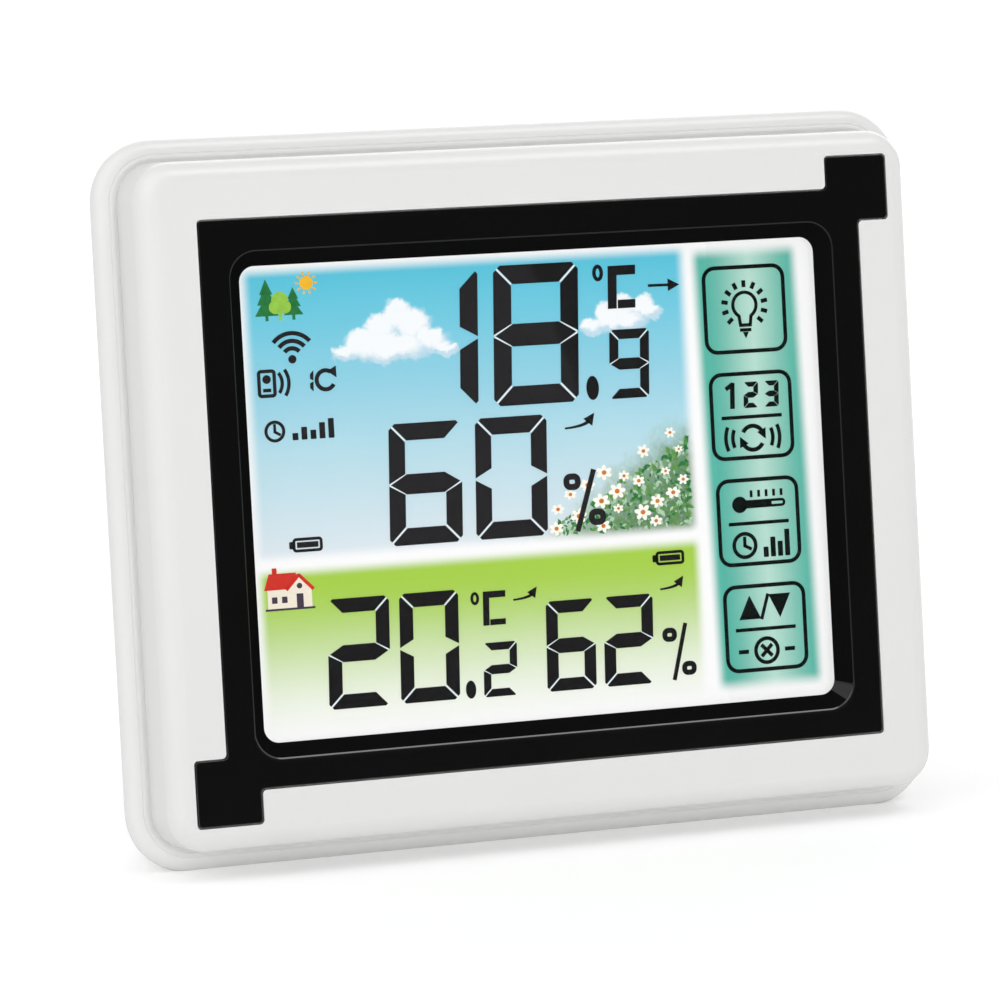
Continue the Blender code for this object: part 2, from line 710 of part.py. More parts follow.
# Display stack
def sheet(name, look, near, thickness, right=LCD_X, bottom=SHEET_BOTTOM):
    low = (-LCD_X, near, bottom)
    return part(name, block(low, (right, near + thickness, LCD_TOP)), look)


def make_display():
    lens = prism(window_outline(LENS_LAP, BEVEL_INNER_R), LENS_FRONT, LENS_FRONT + LENS_T)
    part("touch_window", lens, CLEAR)

    film_right = VIEW_X + LENS_LAP
    touch_back = TOUCH_FRONT + TOUCH_FILM_T
    film_low = (film_right - KEY_STRIP_W, TOUCH_FRONT, -VIEW_Z - WINDOW_DROP)
    film = block(film_low, (film_right, touch_back, VIEW_Z - WINDOW_DROP))
    touch = part("touch_film", film, PRINT)
    tail_left = TAIL_RIGHT - TAIL_W
    tail_low = TAIL_Z - TOUCH_FILM_T
    down = block((tail_left, TOUCH_FRONT, tail_low), (TAIL_RIGHT, touch_back, CUT_SPARE - VIEW_Z))
    fuse(touch, tool("tail_down", down))
    tail_back = TAIL_DEPTH + TOUCH_FILM_T
    under = block((tail_left, TOUCH_FRONT, tail_low), (TAIL_RIGHT, tail_back, TAIL_Z))
    fuse(touch, tool("tail_under", under))
    up = block((tail_left, TAIL_DEPTH, tail_low), (TAIL_RIGHT, tail_back, TAIL_TOP))
    fuse(touch, tool("tail_up", up))

    glass = sheet("lcd_panel", GLASS, LCD_FRONT, LCD_GLASS_T, bottom=LCD_BOTTOM)
    rear_low = (-LCD_X, LCD_FRONT + LCD_GLASS_T / 2, SHEET_BOTTOM)
    fuse(glass, tool("rear_glass", block(rear_low, (LCD_X, LCD_BACK, LCD_TOP))))
    sheet("colour_film", PRINT, COLOUR_FRONT, COLOUR_FILM_T)
    sheet("diffuser_sheet", SHEET, DIFFUSER_FRONT, DIFFUSER_T)
    sheet("light_guide", CLEAR, GUIDE_FRONT, GUIDE_T, right=GUIDE_X)
    sheet("reflector_sheet", SHEET, REFLECTOR_FRONT, REFLECTOR_T, right=GUIDE_X)

    middle = (LCD_TOP + SHEET_BOTTOM) / 2
    strip_low = (LED_BOARD_X, GUIDE_FRONT, middle - LED_BOARD_H / 2)
    strip = part("led_board", block(strip_low, (LCD_X, GUIDE_BACK, middle + LED_BOARD_H / 2)), BOARD)
    tab_end = BOARD_FRONT - SEAT_GAP
    tab_low = (LED_BOARD_X, GUIDE_FRONT, BOARD_TOP - BOARD_GAP - LED_TAB_H)
    tab_high = (LCD_X, tab_end, BOARD_TOP - BOARD_GAP)
    fuse(strip, tool("led_board_tab", block(tab_low, tab_high)))
    led_depth = (GUIDE_FRONT + GUIDE_BACK - LED_T) / 2
    for index in range(LED_COUNT):
        z = middle + (index - (LED_COUNT - 1) / 2) * LED_PITCH
        low = (LED_X, led_depth, z - LED_W / 2)
        high = (LED_X + LED_DEEP, led_depth + LED_T, z + LED_W / 2)
        part(f"backlight_led_{index + 1}", block(low, high), LAMP)

    zebra_low = (-ZEBRA_W / 2, LCD_FRONT + LCD_GLASS_T + FILM_GAP, ZEBRA_BOTTOM)
    zebra_top = ZEBRA_BOTTOM + ZEBRA_T
    part("zebra_strip", block(zebra_low, (ZEBRA_W / 2, BOARD_FRONT - FILM_GAP, zebra_top)), RUBBER)

    tray_outline = rounded_rectangle(-TRAY_X, TRAY_X, TRAY_BOTTOM, TRAY_TOP, TRAY_CORNER_R)
    tray = part("display_tray", prism(tray_outline, TRAY_FRONT, TRAY_BACK), SHEET)
    inside_low = (-LCD_X - SEAT_GAP, TRAY_FRONT - CUT_SPARE, LCD_BOTTOM - SEAT_GAP)
    inside_high = (LCD_X + SEAT_GAP, TRAY_INSIDE, LCD_TOP + SEAT_GAP)
    cut(tray, tool("tray_pocket", block(inside_low, inside_high)))
    slots = block((-ZEBRA_W / 2 - SEAT_GAP, TRAY_INSIDE - CUT_SPARE, ZEBRA_BOTTOM - SEAT_GAP),
                  (ZEBRA_W / 2 + SEAT_GAP, TRAY_BACK + CUT_SPARE, zebra_top + SEAT_GAP))
    block((tab_low[0] - SEAT_GAP, TRAY_INSIDE - CUT_SPARE, tab_low[2] - SEAT_GAP),
          (tab_high[0] + SEAT_GAP, TRAY_BACK + CUT_SPARE, tab_high[2] + SEAT_GAP), slots)
    block((tail_left - SEAT_GAP, TRAY_FRONT - CUT_SPARE, TRAY_BOTTOM - CUT_SPARE),
          (TAIL_RIGHT + SEAT_GAP, touch_back + SEAT_GAP, LCD_BOTTOM + SEAT_GAP), slots)
    cut(tray, tool("tray_slots", slots))


# Main board
def make_electronics():
    outline = rounded_rectangle(-BOARD_X, BOARD_X, BOARD_BOTTOM, BOARD_TOP, BOARD_CORNER_R)
    board = part("main_board", prism(outline, BOARD_FRONT, BOARD_BACK), BOARD)
    holes = rods_back(board_screw_places(), BOARD_FRONT - CUT_SPARE, BOARD_BACK + CUT_SPARE,
                      BOARD_SHANK_R + HOLE_GAP)
    cut(board, tool("board_holes", holes))

    on_board = BOARD_BACK + FILM_GAP
    facing_back = (-math.pi / 2, 0.0, 0.0)
    dome = [(CHIP_R * math.sin(angle), CHIP_T * math.cos(angle))
            for angle in (math.pi / 2 * step / ROUND_STEPS for step in range(ROUND_STEPS + 1))]
    turned("controller_chip", dome + [(0.0, 0.0)], EPOXY, (0.0, on_board, BOARD_TOP - CHIP_DROP), facing_back)

    radio_z = BOARD_TOP - RADIO_DROP
    radio_back = on_board + RADIO_T
    radio_low = (RADIO_X - RADIO_W / 2, on_board, radio_z - RADIO_H / 2)
    part("radio_board", block(radio_low, (RADIO_X + RADIO_W / 2, radio_back, radio_z + RADIO_H / 2)), BOARD)
    chip_low = (RADIO_X - RADIO_CHIP_W / 2, radio_back + FILM_GAP, radio_z)
    chip_high = (RADIO_X + RADIO_CHIP_W / 2, chip_low[1] + RADIO_CHIP_T, radio_z + RADIO_CHIP_W)
    part("radio_chip", block(chip_low, chip_high), EPOXY)
    make_antenna(radio_back, radio_z - RADIO_H / 4)

    crystal = [(0.0, CRYSTAL_L), (CRYSTAL_R, CRYSTAL_L), (CRYSTAL_R, 0.0), (0.0, 0.0)]
    crystal_place = (CRYSTAL_X, on_board + CRYSTAL_R, BOARD_TOP - CHIP_DROP)
    turned("quartz_crystal", crystal, STEEL, crystal_place, (0.0, 0.0, 0.0))
    sensor_top = VENT_Z - VENT_PITCH
    sensor_low = (SENSOR_X - SENSOR_W / 2, on_board, sensor_top - SENSOR_H)
    sensor_high = (SENSOR_X + SENSOR_W / 2, on_board + SENSOR_T, sensor_top)
    part("climate_sensor", block(sensor_low, sensor_high), SHEET)


def make_antenna(foot, height):
    """Coil along x over the radio board, standing on a straight leg at its start."""
    axis_depth = foot + SEAT_GAP + 2 * ANTENNA_R
    start_x = RADIO_X - ANTENNA_TURNS * ANTENNA_PITCH / 2
    leg = [Vector((start_x, foot + SEAT_GAP, height)),
           Vector((start_x, foot + SEAT_GAP + ANTENNA_R / 2, height))]
    coil = []
    for step in range(ANTENNA_TURNS * CURL_POINTS + 1):
        turn = step / CURL_POINTS
        angle = 2 * math.pi * turn
        coil.append(Vector((start_x + ANTENNA_PITCH * turn, axis_depth - ANTENNA_R * math.cos(angle),
                            height + ANTENNA_R * math.sin(angle))))
    wire("antenna_coil", leg + coil, ANTENNA_WIRE_R, COPPER)
    report_least_gap("antenna_coil", coil, ANTENNA_WIRE_R)


# Batteries
def cell_height(index):
    return BOX_BOTTOM + CELL_SPACE + CELL_D / 2 + index * CELL_PITCH


def positive_side(index):
    """Neighbouring cells face opposite ways, so that they join in series."""
    return 1 if index % 2 == 0 else -1


def battery_ends():
    """Side and cell of the row's negative end and of its positive end."""
    last = CELL_COUNT - 1
    return (-positive_side(0), 0), (positive_side(last), last)


def contact(name, side, first, last):
    """Plate against the box's end wall, from one cell to another."""
    outer = BOX_X - FILM_GAP
    near, far = sorted((side * outer, side * (outer - CONTACT_T)))
    reach = CELL_D / 2 - CONTACT_INSET
    low = (near, CELL_DEPTH - reach, cell_height(first) - reach)
    part(name, block(low, (far, CELL_DEPTH + reach, cell_height(last) + reach)), STEEL)


def make_batteries():
    radius = CELL_D / 2
    body = CELL_L - CELL_NUB_H
    profile = [(0.0, CELL_L), (CELL_NUB_R, CELL_L), (CELL_NUB_R, body), (radius - CELL_ROUND, body),
               (radius, body - CELL_ROUND), (radius, CELL_ROUND), (radius - CELL_ROUND, 0.0), (0.0, 0.0)]
    plate_face = BOX_X - FILM_GAP - CONTACT_T
    for index in range(CELL_COUNT):
        side = positive_side(index)
        z = cell_height(index)
        base = side * (plate_face - FILM_GAP - CELL_L)
        name = f"battery_cell_{index + 1}"
        turned(name, profile, JACKET, (base, CELL_DEPTH, z), (0.0, side * math.pi / 2, 0.0))
        make_spring(f"battery_spring_{index + 1}", -side, plate_face, z)
    for index in range(CELL_COUNT - 1):
        contact(f"contact_bridge_{index + 1}", positive_side(index), index, index + 1)
    for (side, cell), pole, look in zip(battery_ends(), ("negative", "positive"), (LEAD_BLACK, LEAD_RED)):
        contact(f"contact_{pole}", side, cell, cell)
        make_lead(f"battery_lead_{pole}", side, cell_height(cell), look)


def make_spring(name, side, plate_face, height):
    """Cone-shaped coil from a contact plate to a cell's flat end."""
    reach = SPRING_L - 2 * SPRING_WIRE_R
    count = round(SPRING_TURNS * CURL_POINTS)
    points = []
    for step in range(count + 1):
        share = step / count
        angle = 2 * math.pi * SPRING_TURNS * share
        radius = SPRING_BASE_R + (SPRING_TIP_R - SPRING_BASE_R) * share
        x = side * (plate_face - TURNING_GAP - SPRING_WIRE_R - reach * share)
        points.append(Vector((x, CELL_DEPTH + radius * math.cos(angle), height + radius * math.sin(angle))))
    wire(name, points, SPRING_WIRE_R, STEEL)
    report_least_gap(name, points, SPRING_WIRE_R)


def make_lead(name, side, height, look):
    """Insulated lead from a contact, out through the box's end wall and down to the board."""
    wall = BOX_X + BOX_WALL
    drop_x = side * (wall + LEAD_REACH)
    stops = [(side * (BOX_X + FILM_GAP), CELL_DEPTH, height), (side * wall, CELL_DEPTH, height),
             (drop_x, CELL_DEPTH, height - LEAD_REACH), (drop_x, CELL_DEPTH, BOARD_TOP + LEAD_REACH),
             (drop_x, BOARD_BACK + LEAD_REACH, BOARD_TOP - LEAD_DROP / 2),
             (drop_x, BOARD_BACK + SEAT_GAP, BOARD_TOP - LEAD_DROP)]
    wire(name, smooth_path(stops, ROUND_STEPS), LEAD_R, look)


# Moving pieces
def make_battery_door():
    """Door modelled about its hinge line, which runs along its rounded lower edge."""
    half = DOOR_T / 2
    outline = rounded_rectangle(-DOOR_X, DOOR_X, -DOOR_CORNER_R, DOOR_TOP - DOOR_HINGE_Z, DOOR_CORNER_R)
    door = part("battery_door", prism(outline, -half, half), WHITE, DOOR_HINGE)
    below = block((-DOOR_X - CUT_SPARE, -DOOR_T, -DOOR_T), (DOOR_X + CUT_SPARE, DOOR_T, 0.0))
    cut(door, tool("door_lower_edge", below, DOOR_HINGE))
    edge = rod((-DOOR_X, 0.0, 0.0), (DOOR_X, 0.0, 0.0), half)
    fuse(door, tool("door_round_edge", edge, DOOR_HINGE))
    pin_end = DOOR_X + DOOR_PIN_L
    fuse(door, tool("door_pins", rod((-pin_end, 0.0, 0.0), (pin_end, 0.0, 0.0), DOOR_PIN_R), DOOR_HINGE))
    rib_top = BOX_TOP - SEAT_GAP - DOOR_HINGE_Z
    rib = block((-DOOR_RIB_W / 2, -half - DOOR_RIB_H, rib_top - DOOR_RIB_T), (DOOR_RIB_W / 2, 0.0, rib_top))
    fuse(door, tool("door_rib", rib, DOOR_HINGE))


def make_stand(table):
    """Leg modelled folded, about its hinge line, then swung open by its empty."""
    half = STAND_W / 2
    leg = block((-half, STAND_OUTER - STAND_T, -STAND_LENGTH), (half, STAND_OUTER, STAND_SHOULDER))
    stand = part("stand", leg, WHITE, STAND_HINGE)
    barrel = rod((-half, 0.0, 0.0), (half, 0.0, 0.0), STAND_BARREL_R)
    fuse(stand, tool("stand_barrel", barrel, STAND_HINGE))
    pin_end = half + STAND_PIN_L
    trunnions = rod((-pin_end, 0.0, 0.0), (pin_end, 0.0, 0.0), STAND_PIN_R)
    fuse(stand, tool("stand_trunnions", trunnions, STAND_HINGE))
    cut(stand, table)


# Fasteners
def make_screw(name, place, seat, head_r, head_h, shank_r, length):
    """Pan-head screw along the depth, its head behind its seat."""
    profile = [(0.0, head_h), (head_r - head_h / 2, head_h), (head_r, head_h / 2), (head_r, 0.0),
               (shank_r, 0.0), (shank_r, shank_r - length), (0.0, -length)]
    x, z = place
    turned(name, profile, STEEL, (x, seat, z), (-math.pi / 2, 0.0, 0.0))


def make_screws():
    for index, place in enumerate(case_screw_places()):
        make_screw(f"case_screw_{index + 1}", place, REAR_FRONT + CASE_SEAT + FILM_GAP, CASE_HEAD_R,
                   CASE_HEAD_H, CASE_SHANK_R, CASE_SCREW_L)
    for index, place in enumerate(board_screw_places()):
        make_screw(f"board_screw_{index + 1}", place, BOARD_BACK + FILM_GAP, BOARD_HEAD_R,
                   BOARD_HEAD_H, BOARD_SHANK_R, BOARD_SCREW_L)


# Placing
def lean_console():
    CONSOLE.location = (0.0, 0.0, CONSOLE_HEIGHT)
    CONSOLE.rotation_euler = (-LEAN, 0.0, 0.0)
    STAND_HINGE.location = (0.0, STAND_HINGE_Y, STAND_HINGE_Z)
    STAND_HINGE.rotation_euler = (STAND_OPEN, 0.0, 0.0)
    DOOR_HINGE.location = (0.0, DOOR_HINGE_Y, DOOR_HINGE_Z)


def centre_on_origin():
    """Slides the console along y until the origin is under the middle of its box."""
    graph = bpy.context.evaluated_depsgraph_get()
    depths = []
    for item in PARTS.objects:
        seen = item.evaluated_get(graph)
        mesh = seen.to_mesh()
        depths += [(seen.matrix_world @ vertex.co).y for vertex in mesh.vertices]
        seen.to_mesh_clear()
    CONSOLE.location.y -= (min(depths) + max(depths)) / 2


def report_hinges():
    bpy.context.view_layer.update()
    for hinge in (CONSOLE, STAND_HINGE, DOOR_HINGE):
        place = ", ".join(f"{value:.6f}" for value in hinge.matrix_world.translation)
        print(f"{hinge.name} at {place}")


def main():
    lean_console()
    table = make_table()
    make_front_housing(table)
    make_front_trim()
    make_rear_cover()
    make_display()
    make_electronics()
    make_batteries()
    make_battery_door()
    make_stand(table)
    make_screws()
    centre_on_origin()
    report_hinges()


main()
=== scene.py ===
"""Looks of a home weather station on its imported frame: casing, trim, display, keys, back and stage."""
import json
import math
import random

import bmesh
import bpy
from bpy.props import FloatProperty, FloatVectorProperty, PointerProperty
from mathutils import Matrix, Vector


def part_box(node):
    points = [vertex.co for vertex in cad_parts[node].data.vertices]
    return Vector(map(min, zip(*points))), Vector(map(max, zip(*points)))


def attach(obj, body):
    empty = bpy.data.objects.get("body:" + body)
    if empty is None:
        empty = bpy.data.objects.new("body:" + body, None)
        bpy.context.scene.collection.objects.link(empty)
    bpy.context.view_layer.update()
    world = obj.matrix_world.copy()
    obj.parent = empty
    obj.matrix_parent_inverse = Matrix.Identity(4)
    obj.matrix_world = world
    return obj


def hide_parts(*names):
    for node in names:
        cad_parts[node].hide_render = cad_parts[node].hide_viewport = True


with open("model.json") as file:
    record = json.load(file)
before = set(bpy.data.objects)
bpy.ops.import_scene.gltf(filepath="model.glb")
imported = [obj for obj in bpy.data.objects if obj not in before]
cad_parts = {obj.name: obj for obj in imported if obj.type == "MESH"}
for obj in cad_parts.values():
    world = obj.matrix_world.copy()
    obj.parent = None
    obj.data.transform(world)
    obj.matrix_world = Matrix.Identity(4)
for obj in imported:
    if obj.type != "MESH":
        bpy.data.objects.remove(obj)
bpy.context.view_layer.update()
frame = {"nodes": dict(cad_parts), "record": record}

bl_info = {
    "name": "Home weather station",
    "version": (1, 0, 0),
    "blender": (4, 5, 0),
    "location": "View3D > Sidebar > Weather station",
    "description": "Builds the looks of a desk weather station on its packed frame",
    "category": "Object",
}

MM = 0.001

# Lean of the console, from the wall mount's axis, and the box of the trim
WALL_AXIS = next(mount["axis"] for mount in frame["record"]["mounts"] if mount["name"] == "wall_back")
LEAN = math.atan2(-WALL_AXIS[2], WALL_AXIS[1])
TRIM_LOW, TRIM_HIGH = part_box("front_trim")

# Depths behind the front face and walls, as in the solids
TRIM_PLATE = 1.3 * MM
TRIM_SEAT = 1.6 * MM
TRIM_LIP = 1.0 * MM
WINDOW_DROP = 0.3 * MM
FRONT_WALL = 2.9 * MM
PARTING = 11.9 * MM
BACK = 25.55 * MM
WALL = 1.9 * MM
CAVITY_ROUND = 1.5 * MM
SEAT_GAP = 0.3 * MM
PARTING_GAP = 0.2 * MM
UPPER_DRAFT = 0.2 * MM
LEAST_CORNER = 0.6 * MM
TRIM_CORNER = 0.6 * MM
SPARE = 1.0 * MM

# Direction of the dark side of the studio, which the black trim mirrors
DARK_SIDE = (0.356, -0.93, 0.09)

# Finish of the trim: gloss and roughness of its faces; tone and roughness of its dull slopes, whose lighter
# tone is a painted sheen in place of their reflection
TRIM_GLOSS, TRIM_ROUGHNESS = 0.28, 0.08
SLOPE_SHEEN_TONE, SLOPE_ROUGHNESS = 1.8, 0.3

# Facing of the trim's slopes and of the corner of them that stays glossy
SLOPE_FACING = (-0.95, -0.3)
CORNER_FACING, CORNER_LEAN = 0.05, 0.9

# Share of the rounding on all edges but the slope's lower one, and the heights over which the coat
# of that edge ends, in millimetres from the middle
PLAIN_EDGE = 0.4
COAT_FADE = (-35.4, -31.0)

# Fine grooves of the casing: width and depth of the one at the tier's foot and of the ledge's line
FOOT_GROOVE = (0.5 * MM, 0.24 * MM)
LEDGE_LINE = (0.4 * MM, 0.12 * MM)
LEDGE_LINE_OUT = 0.35 * MM

# Grip grooves of the lid and the stand, and the finger notch over the lid
GRIP_DEPTH, GRIP_HEIGHT, GRIP_PITCH, GRIP_ROUND = 0.6 * MM, 1.1 * MM, 2.1 * MM, 0.4 * MM
LID_GRIPS = (9.0 * MM, 7.5 * MM, 6.0 * MM, 4.5 * MM)
LID_GRIP_TOP = 28.0 * MM
STAND_GRIP, STAND_GRIPS = 13.0 * MM, 4
STAND_FACE = 2.0 * MM
STAND_GRIP_TOP = -29.0 * MM
LID_NOTCH = ((-7.0 * MM, BACK - 0.9 * MM, 30.2 * MM), (7.0 * MM, BACK + SPARE, 32.8 * MM))

# Screws and board posts, and each screw's head radius, head height, shank radius and reach
CASE_SCREW_X, CASE_SCREW_Z = 52.5 * MM, 41.9 * MM
CASE_SEAT = 14.2 * MM
CASE_BOSS = 2.9 * MM
CASE_PILOT, CASE_PILOT_DEPTH = 1.4 * MM, 8.5 * MM
CASE_SCREW = (2.3 * MM, 1.8 * MM, 1.2 * MM, 8.0 * MM)
BOARD_POST_X = 51.7 * MM
BOARD_POST_HEIGHTS = (-10.7 * MM, -33.1 * MM)
BOARD_POST = 2.2 * MM
BOARD_POST_END = 10.95 * MM
BOARD_PILOT, BOARD_PILOT_DEPTH = 1.2 * MM, 6.6 * MM
BOARD_SEAT = 12.95 * MM
BOARD_SCREW = (1.9 * MM, 1.4 * MM, 1.0 * MM, 6.0 * MM)
SCREW_PITCH, SCREW_RUNOUT, SCREW_ROOT = 0.55 * MM, 0.3 * MM, 0.8

# Batteries, their springs and leads
CELL_D, CELL_L = 10.5 * MM, 44.5 * MM
CELL_RIM, CELL_DISH, CELL_ROUND = 0.9 * MM, 0.25 * MM, 0.35 * MM
CELL_NUB, CELL_NUB_R, CELL_NUB_ROUND = 1.0 * MM, 1.9 * MM, 0.3 * MM
CELL_DEPTH = 17.7 * MM
CELL_HEIGHTS = (2.25 * MM, 13.25 * MM, 24.25 * MM)
PLATE_FACE = 25.0 * MM
PLATE_GAP = 0.1 * MM
SPRING_RADII = (3.6 * MM, 2.4 * MM)
SPRING_WIRE = 0.3 * MM
SPRING_TURNS = 3.5
SPRING_REACH = 4.4 * MM
SPRING_GAP = 0.2 * MM
LEAD_WIRE, LEAD_STEPS = 0.6 * MM, 12
LEAD_OUT = (25.6 * MM, 27.9 * MM, 30.9 * MM)
LEAD_BEND = 3.0 * MM
LEAD_LOW = ((CELL_DEPTH, -3.7 * MM), (15.85 * MM, -9.2 * MM), (13.15 * MM, -11.7 * MM))
ANTENNA_START = Vector((-42.4 * MM, 13.95 * MM, -25.7 * MM))
ANTENNA_R, ANTENNA_WIRE = 2.2 * MM, 0.35 * MM
ANTENNA_PITCH, ANTENNA_TURNS = 1.8 * MM, 6
ANTENNA_GAP = 0.3 * MM

# Panels of the display's print: left, right and soft edge, then bottom, top and soft edge, in millimetres
SKY_PANEL = ((-44.2, 24.9, 2.2), (-9.0, 33.4, 2.0))
FIELD_PANEL = ((-44.0, 25.0, 1.9), (-34.0, -9.2, 2.0))
STRIP_PANEL = ((25.3, 43.1, 2.0), (-32.8, 33.0, 2.4))
STRIP_MIDDLE, STRIP_LEAN = 34.9, 0.016
SKY_DROP, SKY_SPAN = 8.5, 41.5

# Touch keys, in millimetres: middle of the first, step to the next, half size, corner and line
KEY_FIRST, KEY_STEP = (33.5, 23.3), (0.26, -15.58)
KEY_HALF = (6.6, 6.45)
KEY_CORNER, KEY_LINE = 2.0, 0.58

# Meadow: leaves of each green, flowers, their petals and the least space between them in millimetres
LEAVES, FLOWERS, PETALS, FLOWER_GAP = 130, 22, 6, 2.4

# Front and back of each printed layer, in millimetres behind the front face
LAYER_GRASS = (3.70, 3.74)
LAYER_PICTURE = (3.66, 3.69)
LAYER_ACCENT = (3.60, 3.65)
LAYER_SEGMENT = (3.55, 3.61)
LAYER_GAP = (3.62, 3.655)
LAYER_KEY = (3.67, 3.73)

# Smoothness
CORNER_STEPS = 14
EDGE_STEPS = 10
SMALL_STEPS = 4
GRIP_STEPS = 3
DISC_SIDES = 40
PETAL_SIDES = 12
ROUND_STEPS = 6
ARC_STEP = 9
TURN_STEPS = 48
COIL_STEPS = 28
SHARP = math.radians(32.0)
FLAT = math.radians(0.5)
MERGE = 0.001 * MM
FLOOR_SIZE = 4.0


def screen(red, green, blue):
    """Scene-linear colour of screen values from 0 to 255."""
    shares = (red / 255, green / 255, blue / 255)
    return tuple(((share + 0.055) / 1.055) ** 2.4 if share > 0.04045 else share / 12.92 for share in shares)


def length(name, description, millimetres):
    return FloatProperty(name=name, description=description, default=millimetres * MM, min=0.0,
                         precision=5, unit="LENGTH")


def offset(name, description, metres):
    return FloatProperty(name=name, description=description, default=metres, unit="LENGTH")


def angle(name, description, degrees):
    return FloatProperty(name=name, description=description, default=math.radians(degrees), unit="ROTATION")


def number(name, description, value):
    return FloatProperty(name=name, description=description, default=value, min=0.0)


def colour(name, description, red, green, blue):
    return FloatVectorProperty(name=name, description=description, default=screen(red, green, blue),
                               size=3, min=0.0, max=1.0, subtype="COLOR")


class CasingSettings(bpy.types.PropertyGroup):
    """Sizes and colours of the casing and its black trim."""
    frame_width: length("Frame width", "Width of the black frame without its tabs", 101.2)
    frame_height: length("Frame height", "Height of the black frame without its tabs", 80.0)
    tab_width: length("Tab width", "Width of the frame's two corner tabs", 9.5)
    tab_height: length("Tab height", "Height of the frame's two corner tabs", 9.3)
    tab_reach: length("Tab reach", "How far a tab stands out of the frame", 4.8)
    border: length("Border", "Flat black border around the sloping edge", 4.2)
    slope_run: length("Slope run", "Width of the sloping inner edge seen from the front", 2.2)
    slope_depth: length("Slope depth", "Depth of the sloping inner edge", 2.4)
    slope_outer_corner: length("Slope outer corner", "Corner radius where the slope starts", 4.0)
    slope_inner_corner: length("Slope inner corner", "Corner radius of the window", 2.2)
    trim_edge: length("Trim edge", "Rounding of the slope's front edge", 0.5)
    upper_margin: length("Upper margin", "White margin around the black frame", 8.5)
    upper_depth: length("Upper depth", "Height of the upper tier over the flange", 9.6)
    front_round: length("Front round", "Rounding of the upper tier's front edge", 3.1)
    flange_ledge: length("Flange ledge", "How far the flange stands out of the upper tier", 3.5)
    flange_round: length("Flange round", "Rounding of the flange's edge", 2.0)
    flange_corner: length("Flange corner", "Corner radius of the flange", 9.0)
    moulded_edge: length("Moulded edge", "Rounding of the edges on the back", 0.25)
    white: colour("Casing white", "Colour of the gloss and matt casing plastic", 235, 235, 234)
    black: colour("Trim black", "Colour of the trim frame", 10, 10, 10)


class DisplaySettings(bpy.types.PropertyGroup):
    """Colours of the display's print and of what it shows."""
    sky_high: colour("Sky, high", "Sky at the top of the display", 87, 196, 220)
    sky_middle: colour("Sky, middle", "Sky half way down", 152, 211, 229)
    sky_low: colour("Sky, low", "Sky over the lower panel", 224, 233, 239)
    field: colour("Indoor field", "Top of the lower panel, which fades to white", 168, 208, 78)
    strip_edge: colour("Key strip edge", "Sides of the key strip", 90, 183, 166)
    strip_middle: colour("Key strip middle", "Middle of the key strip", 194, 229, 215)
    paper: colour("Margin", "White margin of the display", 252, 252, 252)
    segment: colour("Segments", "Digits and marks of the display", 38, 36, 38)
    key: colour("Key print", "Outlines and signs of the touch keys", 6, 14, 11)
    petal: colour("Petals", "Flower petals", 250, 248, 238)
    grass: colour("Grass", "Grass and leaves", 98, 150, 78)
    backlight: number("Backlight", "Share of the display's light that comes from behind", 0.72)
    glow: number("Glow", "Strength of the light from behind", 0.79)


class StageSettings(bpy.types.PropertyGroup):
    """Camera, floor and lights."""
    azimuth: angle("Azimuth", "Camera's angle to the left of the front", 21.25)
    elevation: angle("Elevation", "Camera's angle above the table", 10.63)
    distance: offset("Distance", "Camera's distance", 0.731)
    aim_right: offset("Aim right", "Aim to the right of the front's middle", -0.00712)
    aim_up: offset("Aim up", "Aim above the front's middle", -0.00236)
    lens: FloatProperty(name="Lens", description="Focal length in millimetres", default=183.5)
    floor: colour("Floor", "Pale floor", 249, 249, 249)
    floor_glow: number("Floor glow", "What keeps the floor white as it is seen", 0.26)
    left_light: number("Left light", "Strength of the soft lamp high on the left", 0.68)
    right_light: number("Right light", "Strength of the smaller lamp high at the front right", 0.38)
    front_light: number("Front light", "Strength of the low lamp in front, which no gloss mirrors", 1.7)
    back_light: number("Back light", "Strength of the soft lamp behind", 0.45)
    dome: number("Dome", "Strength of the even light from all round", 0.52)
    back_dome: number("Back dome", "Strength of the even light from behind", 0.66)
    dark_side: number("Dark side", "Share of the dome's light that is left in front of the console", 0.1)


def console_place():
    """Place and lean of the console: x to the right, y back from the front face, z up."""
    casing = bpy.context.scene.station_casing
    reach = casing.frame_height / 2 + casing.tab_reach
    middle = Vector((0.0, TRIM_LOW.y + reach * math.sin(LEAN), TRIM_HIGH.z - reach * math.cos(LEAN)))
    return Matrix.Translation(middle) @ Matrix.Rotation(-LEAN, 4, "X")


# Shader nodes
def reckoned(operation, reflected=False):
    """A Python operator that adds one Math node."""
    def add_node(flow, *values):
        return flow.look.math(operation, *((*values, flow) if reflected else (flow, *values)))
    return add_node


class Flow:
    """A socket that Python's operators reckon with: each operation adds a Math node."""
    __add__, __radd__ = reckoned("ADD"), reckoned("ADD", True)
    __sub__, __rsub__ = reckoned("SUBTRACT"), reckoned("SUBTRACT", True)
    __mul__, __rmul__ = reckoned("MULTIPLY"), reckoned("MULTIPLY", True)
    __truediv__, __rtruediv__ = reckoned("DIVIDE"), reckoned("DIVIDE", True)
    __pow__, __mod__, __abs__ = reckoned("POWER"), reckoned("FLOORED_MODULO"), reckoned("ABSOLUTE")

    def __init__(self, look, socket):
        self.look = look
        self.socket = socket

    def other(self, output):
        """Another output of the same node."""
        return Flow(self.look, self.socket.node.outputs[output])


